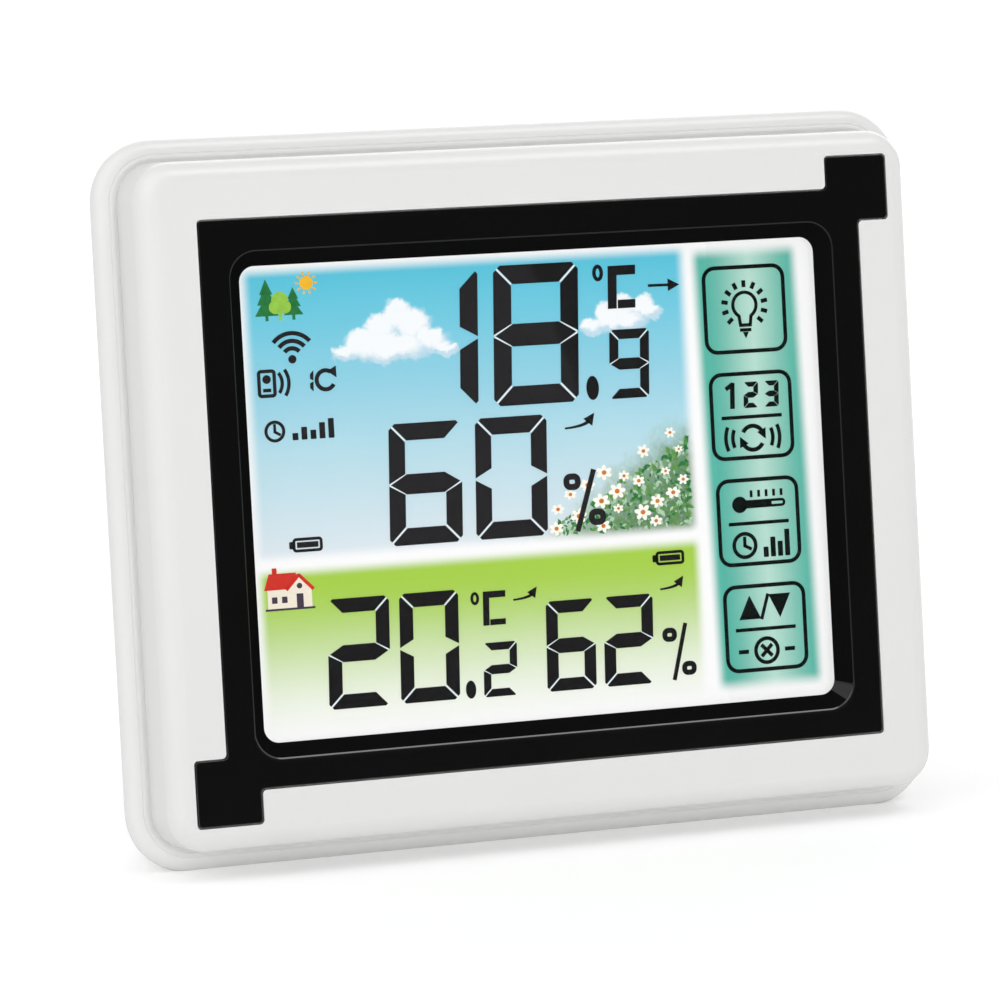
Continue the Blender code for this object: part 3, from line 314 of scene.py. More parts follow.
class Look:
    """The nodes of a material or a world."""

    def __init__(self, owner):
        owner.use_nodes = True
        self.owner = owner
        self.tree = owner.node_tree
        self.tree.nodes.clear()

    def node(self, kind, settings, inputs, output=0):
        """Adds a node, with its settings first, and gives one of its outputs."""
        made = self.tree.nodes.new(kind)
        for key, value in settings.items():
            if key == "stops":
                set_stops(made.color_ramp, value)
            else:
                setattr(made, key, value)
        for key, value in inputs.items():
            if isinstance(value, Flow):
                self.tree.links.new(value.socket, made.inputs[key])
            else:
                made.inputs[key].default_value = value
        return Flow(self, made.outputs[output]) if made.outputs else None

    def math(self, operation, *values):
        return self.node("ShaderNodeMath", {"operation": operation}, dict(enumerate(values)))

    def least(self, first, second):
        return self.math("MINIMUM", first, second)

    def most(self, first, second):
        return self.math("MAXIMUM", first, second)

    def fade(self, value, start, end):
        """Goes softly from 0 at start to 1 at end."""
        inputs = {"Value": value, "From Min": start, "From Max": end}
        return self.node("ShaderNodeMapRange", {"interpolation_type": "SMOOTHSTEP"}, inputs)

    def between(self, value, start, end, softness):
        """1 from start to end, with soft flanks inside them."""
        return self.fade(value, start, start + softness) * (1 - self.fade(value, end - softness, end))

    def panel(self, right, up, edges):
        """1 inside a panel of the display, with soft edges."""
        return self.between(right, *edges[0]) * self.between(up, *edges[1])

    def mix(self, factor, first, second):
        """Colour that goes from first to second."""
        colours = {6: opaque(first), 7: opaque(second)}
        return self.node("ShaderNodeMix", {"data_type": "RGBA"}, {0: factor, **colours}, 2)

    def ramp(self, value, stops):
        return self.node("ShaderNodeValToRGB", {"stops": stops}, {"Fac": value})

    def place(self):
        return self.node("ShaderNodeTexCoord", {}, {}, "Object")

    def console(self):
        """Right, back and up from the middle of the front face, in millimetres."""
        back = console_place().inverted()
        turned = self.node("ShaderNodeMapping", {}, {
            "Vector": self.place(), "Location": back.translation / MM, "Rotation": back.to_euler(),
            "Scale": Vector((1.0, 1.0, 1.0)) / MM})
        right = self.node("ShaderNodeSeparateXYZ", {}, {"Vector": turned})
        return right, right.other(1), right.other(2)

    def point(self, right, back, up):
        return self.node("ShaderNodeCombineXYZ", {}, {"X": right, "Y": back, "Z": up})

    def noise(self, place, scale, detail=3.0, roughness=0.5):
        inputs = {"Vector": place, "Scale": scale, "Detail": detail, "Roughness": roughness}
        return self.node("ShaderNodeTexNoise", {}, inputs)

    def bump(self, height, strength, distance):
        inputs = {"Strength": strength, "Distance": distance, "Height": height}
        return self.node("ShaderNodeBump", {}, inputs)

    def finish(self, inputs):
        """Ends in one Principled shader."""
        shader = self.node("ShaderNodeBsdfPrincipled", {}, inputs)
        self.node("ShaderNodeOutputMaterial", {}, {"Surface": shader})
        return self.owner


def set_stops(band, stops):
    """Gives a colour band its positions and colours."""
    while len(band.elements) < len(stops):
        band.elements.new(1.0)
    for element, (position, value) in zip(band.elements, stops):
        element.position = position
        element.color = opaque(value)


def opaque(value):
    """A colour with full alpha, or the flow of one."""
    return value if isinstance(value, Flow) else (*value[:3], 1.0)


def shade(value, share):
    """A colour made lighter or darker."""
    return tuple(min(1.0, channel * share) for channel in value)


def new_look(name):
    return Look(bpy.data.materials.new(name))


# Finishes
def gloss_plastic(name, tone, roughness, ripple):
    """Moulded gloss plastic with a faint flow pattern and a fine ripple."""
    look = new_look(name)
    place = look.place()
    flow = look.noise(place, 38.0, 2.0)
    grain = look.noise(place, 900.0, 2.0)
    return look.finish({
        "Base Color": look.mix(flow, shade(tone, 0.985), shade(tone, 1.012)),
        "Roughness": roughness + 0.06 * flow + 0.03 * grain,
        "Normal": look.bump(grain, ripple, 0.00002),
        "IOR": 1.49})


def textured_plastic(name, tone):
    """Moulded plastic with the fine eroded texture of a back cover."""
    look = new_look(name)
    place = look.place()
    grain = look.noise(place, 2600.0, 3.0, 0.6)
    flow = look.noise(place, 45.0, 2.0)
    return look.finish({
        "Base Color": look.mix(0.6 * grain + 0.4 * flow, shade(tone, 0.94), shade(tone, 1.01)),
        "Roughness": 0.42 + 0.16 * grain,
        "Normal": look.bump(grain, 0.35, 0.00006)})


def black_gloss(name, tone, gloss, roughness, coat=0.0):
    """Glossy black, with a clear coat on the lower edge where one is given."""
    look = new_look(name)
    place = look.place()
    haze = look.noise(place, 60.0, 3.0)
    inputs = {
        "Base Color": look.mix(haze, shade(tone, 0.85), shade(tone, 1.15)),
        "Roughness": roughness + 0.04 * haze,
        "Normal": look.bump(look.noise(place, 420.0, 1.0), 0.02, 0.00002),
        "Specular IOR Level": gloss}
    if coat:
        up = look.console()[2]
        inputs["Coat Weight"] = coat - coat * look.fade(up, *COAT_FADE)
    return look.finish(inputs)


def clear_sheet(name, tint, alpha):
    """Clear plastic, a little hazy in places."""
    look = new_look(name)
    haze = look.noise(look.place(), 70.0, 3.0)
    return look.finish({
        "Base Color": look.mix(haze, shade(tint, 0.97), tint),
        "Roughness": 0.04 + 0.05 * haze,
        "Alpha": alpha + 0.01 * haze})


def ink(name, tone, spread=0.08, display=None):
    """Printed colour with a slight mottle, lit from behind where a display is given."""
    look = new_look(name)
    mottle = look.noise(look.place(), 1500.0, 2.0)
    tint = look.mix(mottle, shade(tone, 1.0 - spread), shade(tone, 1.0 + spread))
    inputs = {"Base Color": tint, "Roughness": 0.4 + 0.1 * mottle, "Specular IOR Level": 0.1}
    if display:
        inputs["Base Color"] = look.mix(display.backlight, tint, (0.0, 0.0, 0.0))
        inputs |= {"Emission Color": tint, "Emission Strength": display.glow}
    return look.finish(inputs)


def segment_ink(name, tone):
    """Liquid-crystal black, with a painted glare that makes it lighter towards the upper left of the display.
    """
    look = new_look(name)
    right, _, up = look.console()
    # Painted glare: the segments are painted lighter in the upper left, where a glare lies over the display,
    # and darker elsewhere
    painted_glare = look.fade(right + 0.35 * up, 12.0, 10.5) * look.fade(up, -14.0, -8.0)
    mottle = look.noise(look.place(), 1500.0, 2.0)
    glare_tone = look.mix(painted_glare, shade(tone, 0.45), tone)
    return look.finish({
        "Base Color": look.mix(0.25 * mottle, glare_tone, shade(tone, 1.15)),
        "Roughness": 0.45 + 0.1 * mottle, "Specular IOR Level": 0.1})


def matt_sheet(name, tone):
    """Dull sheet or moulding with a fine grain."""
    look = new_look(name)
    grain = look.noise(look.place(), 1200.0, 3.0)
    return look.finish({
        "Base Color": look.mix(grain, shade(tone, 0.94), tone),
        "Roughness": 0.5 + 0.2 * grain,
        "Normal": look.bump(grain, 0.15, 0.00003)})


def dotted_guide(name):
    """Light guide with the row of scattering dots on its back."""
    look = new_look(name)
    right, _, up = look.console()
    dots = look.math("SINE", right * 5.2) * look.math("SINE", up * 5.2)
    spot = look.fade(dots, 0.35, 0.6)
    return look.finish({
        "Base Color": look.mix(spot, screen(214, 228, 232), screen(255, 255, 255)),
        "Roughness": 0.06 + 0.5 * spot, "Alpha": 0.35 + 0.5 * spot})


def circuit_board(name):
    """Green lacquer over copper runs and bare pads."""
    look = new_look(name)
    right, back, up = look.console()
    lanes = look.noise(look.point(right * 0.12, back, up * 0.12), 3.0, 1.0)
    runs = look.fade(abs((lanes * 22) % 1 - 0.5), 0.16, 0.22)
    pads = look.fade(look.math("SINE", right * 2.4) * look.math("SINE", up * 2.4), 0.90, 0.94)
    lacquer = look.mix(runs, screen(46, 112, 62), screen(26, 84, 44))
    return look.finish({
        "Base Color": look.mix(pads, lacquer, screen(206, 186, 120)),
        "Roughness": 0.45 - 0.15 * pads, "Metallic": pads,
        "Normal": look.bump(runs, 0.25, 0.00004)})


def brushed_metal(name, tone, scale=(90.0, 1400.0, 1400.0), roughness=0.24):
    """Bare metal whose grain runs along the axis of the smallest scale."""
    look = new_look(name)
    lines = look.node("ShaderNodeMapping", {}, {"Vector": look.place(), "Scale": scale})
    brush = look.noise(lines, 1.0, 3.0)
    return look.finish({
        "Base Color": look.mix(brush, shade(tone, 0.82), tone),
        "Metallic": 1.0, "Roughness": roughness + 0.18 * brush,
        "Normal": look.bump(brush, 0.08, 0.00002)})


def layered_rubber(name):
    """Contact strip of thin conducting and insulating layers."""
    look = new_look(name)
    right = look.console()[0]
    layer = look.fade(abs((right * 4) % 1 - 0.5), 0.2, 0.3)
    return look.finish({
        "Base Color": look.mix(layer, screen(40, 40, 42), screen(180, 182, 186)),
        "Roughness": 0.6 + 0.15 * layer})


def cell_jacket(name):
    """Plain battery sleeve: dark green with a pale plus end and a dark line between them."""
    look = new_look(name)
    right, _, up = look.console()
    outer = look.fade(abs(up - CELL_HEIGHTS[1] / MM), 5.4, 5.6)
    toward = right * (2 * outer - 1)
    band = look.fade(toward, 10.2, 10.4)
    line = look.fade(toward, 9.2, 9.4) * (1 - band)
    wear = look.noise(look.place(), 320.0, 3.0)
    body = look.mix(band, screen(44, 96, 70), screen(206, 208, 204))
    worn = look.mix(0.2 * wear, body, screen(24, 52, 40))
    return look.finish({
        "Base Color": look.mix(line, worn, screen(22, 30, 26)),
        "Roughness": 0.26 + 0.12 * wear, "Metallic": 0.35 * band, "Coat Weight": 0.2 + 0.1 * wear})


def lead_cover(name, tone):
    """Soft insulation of a lead."""
    look = new_look(name)
    mottle = look.noise(look.place(), 700.0, 2.0)
    return look.finish({
        "Base Color": look.mix(mottle, shade(tone, 0.85), tone), "Roughness": 0.38 + 0.12 * mottle})


def display_print(display):
    """Sky with clouds and a meadow, the lower field and the key strip, all with soft edges."""
    look = new_look("display_print")
    right, _, up = look.console()
    flat = look.point(right, 0.0, up)
    drift = look.noise(flat, 0.11, 3.0)

    sky_stops = [(0.0, display.sky_low), (0.14, screen(208, 228, 236)), (0.37, screen(181, 221, 233)),
                 (0.56, display.sky_middle), (0.8, screen(116, 203, 225)), (1.0, display.sky_high)]
    sky = look.ramp((up + SKY_DROP + 1.6 * (drift - 0.5)) / SKY_SPAN, sky_stops)
    sky = clouds(look, right, up, flat, sky)
    sky = meadow(look, display, right, up, flat, sky)
    picture = look.mix(look.panel(right, up, SKY_PANEL), display.paper, sky)

    field = look.mix(look.fade(up + 1.2 * (drift - 0.5), -36.0, -12.0), display.paper, display.field)
    picture = look.mix(look.panel(right, up, FIELD_PANEL), picture, field)

    slid = right + STRIP_LEAN * up
    away = abs(slid - STRIP_MIDDLE)
    strip = look.mix(look.fade(away, -2.0, 7.4), display.strip_middle, display.strip_edge)
    picture = look.mix(look.panel(slid, up, STRIP_PANEL), picture, strip)

    grain = look.noise(look.place(), 2200.0, 1.0)
    lit = display.backlight + 0.02 * grain
    return look.finish({
        "Base Color": look.mix(lit, picture, (0.0, 0.0, 0.0)),
        "Roughness": 0.4 + 0.1 * grain, "Specular IOR Level": 0.1,
        "Emission Color": picture, "Emission Strength": display.glow})


# Lumps of the two clouds: right, up, half width and half height in millimetres
CLOUD_LUMPS = (
    (-28.4, 20.3, 2.2, 1.3), (-26.0, 21.6, 2.6, 2.1), (-23.0, 23.4, 2.6, 2.4), (-20.4, 25.3, 2.3, 2.4),
    (-18.0, 23.6, 2.6, 2.6), (-15.2, 21.4, 2.4, 1.8), (-22.0, 20.6, 6.6, 2.0), (-13.2, 20.0, 1.8, 1.0),
    (9.4, 22.0, 2.0, 1.3), (11.8, 23.6, 2.0, 1.9), (14.4, 24.4, 2.2, 2.0), (17.2, 24.6, 2.0, 1.6),
    (18.8, 23.6, 1.6, 1.2), (13.6, 22.4, 4.6, 1.4),
)


def clouds(look, right, up, flat, sky):
    """White lumps with ragged edges and a blue shade on their undersides."""
    ragged = look.noise(flat, 0.55, 5.0, 0.6)
    curled = look.noise(look.point(up, 7.0, right), 0.55, 5.0, 0.6)
    across, along = right + 2.6 * (ragged - 0.5), up + 2.6 * (curled - 0.5)
    cover, crown = 0.0, 0.0
    for middle_x, middle_z, half_x, half_z in CLOUD_LUMPS:
        reach = ((across - middle_x) / half_x) ** 2 + ((along - middle_z) / half_z) ** 2
        cover = look.most(cover, look.fade(reach, 1.35, 0.6))
        lit = ((across - middle_x + 0.4) / half_x) ** 2 + ((along - middle_z - 0.7) / half_z) ** 2
        crown = look.most(crown, look.fade(lit, 1.2, 0.3))
    lightness = look.least(crown + 0.35 * (ragged - 0.4), 1.0)
    tone = look.mix(lightness, screen(196, 222, 236), screen(252, 253, 254))
    return look.mix(0.94 * cover, sky, tone)


def meadow(look, display, right, up, flat, sky):
    """Leaves and grass, taller and deeper to the lower right, loosening into the sky."""
    leaf = look.noise(flat, 1.5, 5.0, 0.7)
    tuft = look.noise(look.point(right, 3.0, up), 0.42, 3.0, 0.6)
    line = -7.0 + 12.5 * look.fade(right, 0.0, 22.0)
    cover = look.fade(up - line + 9.0 * (tuft - 0.5), 3.0, -3.6) * look.fade(right, -9.0, 8.0)
    depth = look.fade(right - 1.1 * up + 7.0 * (tuft - 0.5), 3.0, 24.0)
    misty = look.mix(look.fade(leaf, 0.35, 0.68), screen(136, 176, 142), screen(214, 232, 222))
    deep = look.mix(look.fade(leaf, 0.34, 0.7), screen(44, 92, 40), display.grass)
    grown = look.mix(depth, misty, deep)
    haze = look.fade(leaf, 0.25, 0.6)
    return look.mix(cover * (0.5 + 0.5 * haze), sky, grown)


# Mesh helpers
def rounded_face(shape, half_x, half_z, radius, depth, drop=0.0):
    """Adds a face with rounded corners across the console, at a depth."""
    size = Matrix.Diagonal((half_x, half_z, 1.0, 1.0))
    place = Matrix.Translation((0.0, depth, -drop)) @ Matrix.Rotation(math.pi / 2, 4, "X") @ size
    corners = bmesh.ops.create_grid(shape, x_segments=1, y_segments=1, size=1.0, matrix=place)["verts"]
    rounded = bmesh.ops.bevel(shape, geom=corners, offset=radius, segments=CORNER_STEPS, profile=0.5,
                              affect="VERTICES", material=-1)
    return rounded["verts"][0].link_faces[0]


def loft(sections):
    """Closed form through rounded sections: half width, half height, radius, depth and drop."""
    shape = bmesh.new()
    caps = [rounded_face(shape, *sections[0])]
    for here, there in zip(sections, sections[1:]):
        grown = bmesh.ops.extrude_face_region(shape, geom=caps[-1:])["geom"]
        caps.append(next(item for item in grown if isinstance(item, bmesh.types.BMFace)))
        for corner in caps[-1].verts:
            move_to_section(corner, here, there)
    bmesh.ops.delete(shape, geom=caps[1:-1], context="FACES_ONLY")
    bmesh.ops.recalc_face_normals(shape, faces=shape.faces)
    return shape


def move_to_section(corner, here, there):
    """Moves a point of one rounded section to its like point on another."""
    side = math.copysign(1.0, corner.co.x), math.copysign(1.0, corner.co.z + WINDOW_DROP)
    old, new = [(side[0] * (half_x - radius), side[1] * (half_z - radius) - sum(drop), radius, depth)
                for half_x, half_z, radius, depth, *drop in (here, there)]
    grow = new[2] / old[2]
    corner.co = (new[0] + (corner.co.x - old[0]) * grow, new[3], new[1] + (corner.co.z - old[1]) * grow)


def extrude(shape, reach):
    """Gives flat faces a thickness towards the back."""
    grown = bmesh.ops.extrude_face_region(shape, geom=shape.faces[:])
    moved = [item for item in grown["geom"] if isinstance(item, bmesh.types.BMVert)]
    bmesh.ops.translate(shape, vec=(0.0, reach, 0.0), verts=moved)
    bmesh.ops.recalc_face_normals(shape, faces=shape.faces)


def rods(places, near, far, radius):
    """One rod along the depth at each place."""
    shape = bmesh.new()
    for x, z in places:
        place = Matrix.Translation((x, (near + far) / 2, z)) @ Matrix.Rotation(math.pi / 2, 4, "X")
        bmesh.ops.create_cone(shape, cap_ends=True, segments=DISC_SIDES, radius1=radius, radius2=radius,
                              depth=far - near, matrix=place)
    return shape


def softened_block(shape, low, high, radius):
    """Adds a block with all its edges rounded."""
    middle = (Vector(low) + Vector(high)) / 2
    size = Vector(high) - Vector(low)
    corners = bmesh.ops.create_cube(shape, size=1.0)["verts"]
    bmesh.ops.scale(shape, vec=size, verts=corners)
    bmesh.ops.translate(shape, vec=middle, verts=corners)
    edges = list({edge for corner in corners for edge in corner.link_edges})
    bmesh.ops.bevel(shape, geom=edges, offset=radius, segments=GRIP_STEPS, profile=0.5,
                    affect="EDGES", material=-1)


def spun(profile):
    """Turned form of a profile of radius and height."""
    shape = bmesh.new()
    points = [shape.verts.new((radius, 0.0, height)) for radius, height in profile]
    lines = [shape.edges.new(pair) for pair in zip(points, points[1:])]
    bmesh.ops.spin(shape, geom=points + lines, cent=(0.0, 0.0, 0.0), axis=(0.0, 0.0, 1.0),
                   dvec=(0.0, 0.0, 0.0), angle=2 * math.pi, steps=TURN_STEPS, use_merge=True,
                   use_duplicate=False)
    bmesh.ops.remove_doubles(shape, verts=shape.verts, dist=MERGE)
    bmesh.ops.recalc_face_normals(shape, faces=shape.faces)
    return shape


def helper_object(name, shape):
    """An object of a shape that is no piece of the station."""
    mesh = bpy.data.meshes.new(name)
    shape.to_mesh(mesh)
    shape.free()
    item = bpy.data.objects.new(name, mesh)
    bpy.context.scene.collection.objects.link(item)
    return item


def combined(shape, *steps):
    """The shape after Boolean steps, each an operation and another shape."""
    body = helper_object("shaping", shape)
    helpers = [helper_object("shaping_tool", other) for operation, other in steps]
    for (operation, other), helper in zip(steps, helpers):
        step = body.modifiers.new(operation, "BOOLEAN")
        step.operation = operation
        step.solver = "EXACT"
        step.object = helper
    result = bmesh.new()
    result.from_object(body, bpy.context.evaluated_depsgraph_get())
    for item in [body] + helpers:
        bpy.data.meshes.remove(item.data)
    bmesh.ops.dissolve_degenerate(result, dist=MERGE, edges=result.edges)
    return result


def wire_shape(points, radius):
    """Round wire with closed ends through points."""
    path = bpy.data.curves.new("wire", "CURVE")
    path.dimensions = "3D"
    path.bevel_depth = radius
    path.bevel_resolution = 3
    path.use_fill_caps = True
    spline = path.splines.new("POLY")
    spline.points.add(len(points) - 1)
    for node, place in zip(spline.points, points):
        node.co = (*place, 1.0)
    item = bpy.data.objects.new("wire", path)
    mesh = bpy.data.meshes.new_from_object(item)
    shape = bmesh.new()
    shape.from_mesh(mesh)
    bpy.data.objects.remove(item)
    bpy.data.meshes.remove(mesh)
    bmesh.ops.remove_doubles(shape, verts=shape.verts, dist=MERGE)
    bmesh.ops.recalc_face_normals(shape, faces=shape.faces)
    return shape


def smooth_path(stops, steps):
    """Points along a smooth curve through the stops."""
    points = []
    for index in range(len(stops) - 1):
        before = Vector(stops[max(index - 1, 0)])
        start, end = Vector(stops[index]), Vector(stops[index + 1])
        after = Vector(stops[min(index + 2, len(stops) - 1)])
        for step in range(steps):
            share = step / steps
            lean_in, lean_out = (end - before) / 2, (after - start) / 2
            cubic = 2 * (start - end) + lean_in + lean_out
            square = 3 * (end - start) - 2 * lean_in - lean_out
            points.append(((cubic * share + square) * share + lean_in) * share + start)
    return points + [Vector(stops[-1])]


def merged_copy(node):
    """A copy of a solid's mesh with its loose triangles joined, where the solid is."""
    shape = bmesh.new()
    shape.from_mesh(frame["nodes"][node].data)
    bmesh.ops.remove_doubles(shape, verts=shape.verts, dist=MERGE)
    bmesh.ops.dissolve_limit(shape, angle_limit=FLAT, verts=shape.verts, edges=shape.edges)
    return shape


def settle(name, shape, looks, body="console", replaced=(), place=None):
    """Makes a piece of a shape, in the console's frame unless another place is given."""
    bmesh.ops.transform(shape, matrix=console_place() if place is None else place, verts=shape.verts)
    mesh = bpy.data.meshes.new(name)
    shape.to_mesh(mesh)
    shape.free()
    for look in looks:
        mesh.materials.append(look)
    mesh.shade_smooth()
    mesh.set_sharp_from_angle(angle=SHARP)
    piece = bpy.data.objects.new(name, mesh)
    bpy.context.scene.collection.objects.link(piece)
    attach(piece, body)
    if replaced:
        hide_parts(*replaced)
    return piece


def soften(piece, width, steps=3):
    """Rounds a piece's sharp edges and keeps its flat faces flat in shading."""
    rounding = piece.modifiers.new("rounding", "BEVEL")
    rounding.width = width
    rounding.segments = steps
    rounding.limit_method = "ANGLE"
    rounding.angle_limit = SHARP
    rounding.use_clamp_overlap = True
    keep_flats(piece)


def keep_flats(piece):
    """Lets the large faces lead the shading."""
    weighting = piece.modifiers.new("flats", "WEIGHTED_NORMAL")
    weighting.keep_sharp = True
    weighting.weight = 100


def paint(look, *nodes):
    """Gives CAD nodes a finish."""
    for node in nodes:
        slots = frame["nodes"][node].data.materials
        slots.clear()
        slots.append(look)


# Casing
def quarter_round(margin, depth, radius):
    """Margins and depths of a round edge, from its front tangent out to margin."""
    angles = [math.pi / 2 * step / EDGE_STEPS for step in range(EDGE_STEPS + 1)]
    return [(margin - radius + radius * math.sin(turn), depth + radius - radius * math.cos(turn))
            for turn in angles]


def casing_section(casing, margin, depth):
    """Rounded outline of the casing at a margin around the black frame."""
    inset = casing.upper_margin + casing.flange_ledge - margin
    radius = max(LEAST_CORNER, casing.flange_corner - inset)
    return casing.frame_width / 2 + margin, casing.frame_height / 2 + margin, radius, depth


def window_section(casing, grow, radius, depth):
    """Rounded outline of the display window, grown by an amount."""
    inset = casing.border + casing.slope_run - grow
    return casing.frame_width / 2 - inset, casing.frame_height / 2 - inset, radius, depth, WINDOW_DROP


def trim_slab(casing, grow, near, far):
    """The black frame's outline with its two tabs, as a slab."""
    half_x, half_z = casing.frame_width / 2 + grow, casing.frame_height / 2 + grow
    side, top = half_x + casing.tab_reach, half_z + casing.tab_reach
    tab_in, tab_low = side - casing.tab_width - 2 * grow, top - casing.tab_height - 2 * grow
    half = [(half_x, -half_z), (half_x, tab_low), (side, tab_low),
            (side, top), (tab_in, top), (tab_in, half_z)]
    shape = bmesh.new()
    corners = [shape.verts.new((x, near, z)) for x, z in half + [(-x, -z) for x, z in half]]
    shape.faces.new(corners)
    bmesh.ops.bevel(shape, geom=corners, offset=TRIM_CORNER, segments=SMALL_STEPS, profile=0.5,
                    affect="VERTICES", material=-1)
    extrude(shape, far - near)
    return shape


def case_screw_places():
    return [(side * CASE_SCREW_X, level * CASE_SCREW_Z) for level in (1, -1) for side in (1, -1)]


def board_screw_places():
    return [(side * BOARD_POST_X, height) for height in BOARD_POST_HEIGHTS for side in (1, -1)]


def cut_at_table(shape):
    """Takes off what would reach under the table and closes the cut."""
    back = console_place().inverted()
    down = back.to_3x3() @ Vector((0.0, 0.0, -1.0))
    everything = shape.verts[:] + shape.edges[:] + shape.faces[:]
    cut = bmesh.ops.bisect_plane(shape, geom=everything, dist=MERGE, plane_co=back.translation,
                                 plane_no=down, clear_outer=True)
    rim = [item for item in cut["geom_cut"] if isinstance(item, bmesh.types.BMEdge)]
    if rim:
        bmesh.ops.contextual_create(shape, geom=rim)


class STATION_OT_front_shell(bpy.types.Operator):
    """White casing front: a rounded upper tier on a wider flange, with fine grooves between them"""
    bl_idname = "station.front_shell"
    bl_label = "Front shell"

    def execute(self, context):
        casing = context.scene.station_casing
        ledge = casing.upper_depth
        foot = casing.upper_margin + UPPER_DRAFT
        groove_out, groove_floor = foot + FOOT_GROOVE[0], ledge + FOOT_GROOVE[1]
        line = groove_out + LEDGE_LINE_OUT
        line_floor = ledge + LEDGE_LINE[1]
        flange = casing.upper_margin + casing.flange_ledge
        profile = quarter_round(casing.upper_margin, 0.0, casing.front_round)
        profile += [(foot, groove_floor), (groove_out, groove_floor), (groove_out, ledge), (line, ledge)]
        profile += [(line + LEDGE_LINE[0] / 3, line_floor), (line + 2 * LEDGE_LINE[0] / 3, line_floor)]
        profile += [(line + LEDGE_LINE[0], ledge)]
        profile += quarter_round(flange, ledge, casing.flange_round) + [(flange, PARTING)]
        shell = loft([casing_section(casing, margin, depth) for margin, depth in profile])
        cut_at_table(shell)

        inside = casing.upper_margin - WALL
        far = PARTING + SPARE
        hollow = [(inside - CAVITY_ROUND, FRONT_WALL), (inside, FRONT_WALL + CAVITY_ROUND), (inside, far)]
        cavity = combined(
            loft([casing_section(casing, margin, depth) for margin, depth in hollow]),
            ("DIFFERENCE", rods(case_screw_places(), TRIM_SEAT, far + SPARE, CASE_BOSS)),
            ("DIFFERENCE", rods(board_screw_places(), TRIM_SEAT, BOARD_POST_END, BOARD_POST)))
        opening = [casing_section(casing, SEAT_GAP - casing.border, depth)
                   for depth in (-SPARE, FRONT_WALL + SPARE)]
        shell = combined(
            shell, ("DIFFERENCE", cavity), ("DIFFERENCE", loft(opening)),
            ("DIFFERENCE", trim_slab(casing, PARTING_GAP, -SPARE, TRIM_SEAT)),
            ("DIFFERENCE", rods(case_screw_places(), CASE_SEAT - CASE_PILOT_DEPTH, far, CASE_PILOT)),
            ("DIFFERENCE", rods(board_screw_places(), BOARD_SEAT - BOARD_PILOT_DEPTH, far, BOARD_PILOT)))
        look = gloss_plastic("casing_gloss", casing.white, 0.2, 0.03)
        keep_flats(settle("front_shell", shell, [look], replaced=["front_housing"]))
        return {"FINISHED"}


class STATION_OT_trim_frame(bpy.types.Operator):
    """Glossy black frame with a tab at two corners and a sloping inner edge"""
    bl_idname = "station.trim_frame"
    bl_label = "Trim frame"

    def execute(self, context):
        casing = context.scene.station_casing
        slope = casing.slope_run / casing.slope_depth
        outer, inner = casing.slope_outer_corner, casing.slope_inner_corner
        lip_front = TRIM_PLATE / 2
        lip_run = casing.slope_run - lip_front * slope
        lip = loft([window_section(casing, lip_run + TRIM_LIP, outer, lip_front),
                    window_section(casing, TRIM_LIP, inner + TRIM_LIP, casing.slope_depth)])
        funnel = loft([window_section(casing, casing.slope_run + SPARE * slope, outer, -SPARE),
                       window_section(casing, casing.slope_run, outer, 0.0),
                       window_section(casing, 0.0, inner, casing.slope_depth),
                       window_section(casing, -SPARE * slope, inner, casing.slope_depth + SPARE)])
        trim = combined(trim_slab(casing, 0.0, 0.0, TRIM_PLATE), ("UNION", lip), ("DIFFERENCE", funnel))
        bmesh.ops.dissolve_limit(trim, angle_limit=FLAT, verts=trim.verts, edges=trim.edges)
        self.mark_slope(trim, casing)
        looks = [black_gloss("trim_gloss", casing.black, TRIM_GLOSS, TRIM_ROUGHNESS),
                 # The slopes lose their gloss and get a lighter black instead: a painted sheen
                 black_gloss("trim_slope_painted_sheen", shade(casing.black, SLOPE_SHEEN_TONE), 0.0, SLOPE_ROUGHNESS),
                 black_gloss("trim_edge", casing.black, TRIM_GLOSS, TRIM_ROUGHNESS, 1.0)]
        piece = settle("trim_frame", trim, looks, replaced=["front_trim"])
        soften(piece, casing.trim_edge)
        piece.modifiers["rounding"].limit_method = "WEIGHT"
        piece.modifiers["rounding"].material = 2
        return {"FINISHED"}

    def mark_slope(self, trim, casing):
        """Dull slopes but for one corner, and a rounder lower edge of them than the other edges."""
        weight = trim.edges.layers.float.new("bevel_weight_edge")
        half_x = casing.frame_width / 2 - casing.border / 2
        half_z = casing.frame_height / 2 - casing.border / 2
        low = casing.border + casing.slope_outer_corner - casing.frame_height / 2
        for face in trim.faces:
            normal = face.normal
            to_left = normal.x < -CORNER_FACING
            lower_right = to_left and CORNER_FACING < normal.z < -CORNER_LEAN * normal.x
            if SLOPE_FACING[0] < normal.y < SLOPE_FACING[1] and not lower_right:
                face.material_index = 1
        for edge in trim.edges:
            if edge.calc_face_angle(0.0) > SHARP:
                ends = [end.co for end in edge.verts]
                inner = all(abs(end.x) < half_x and abs(end.z) < half_z for end in ends)
                front = all(abs(end.y) < MERGE for end in ends)
                lower = all(end.z < low for end in ends)
                edge[weight] = 1.0 if inner and front and lower else PLAIN_EDGE


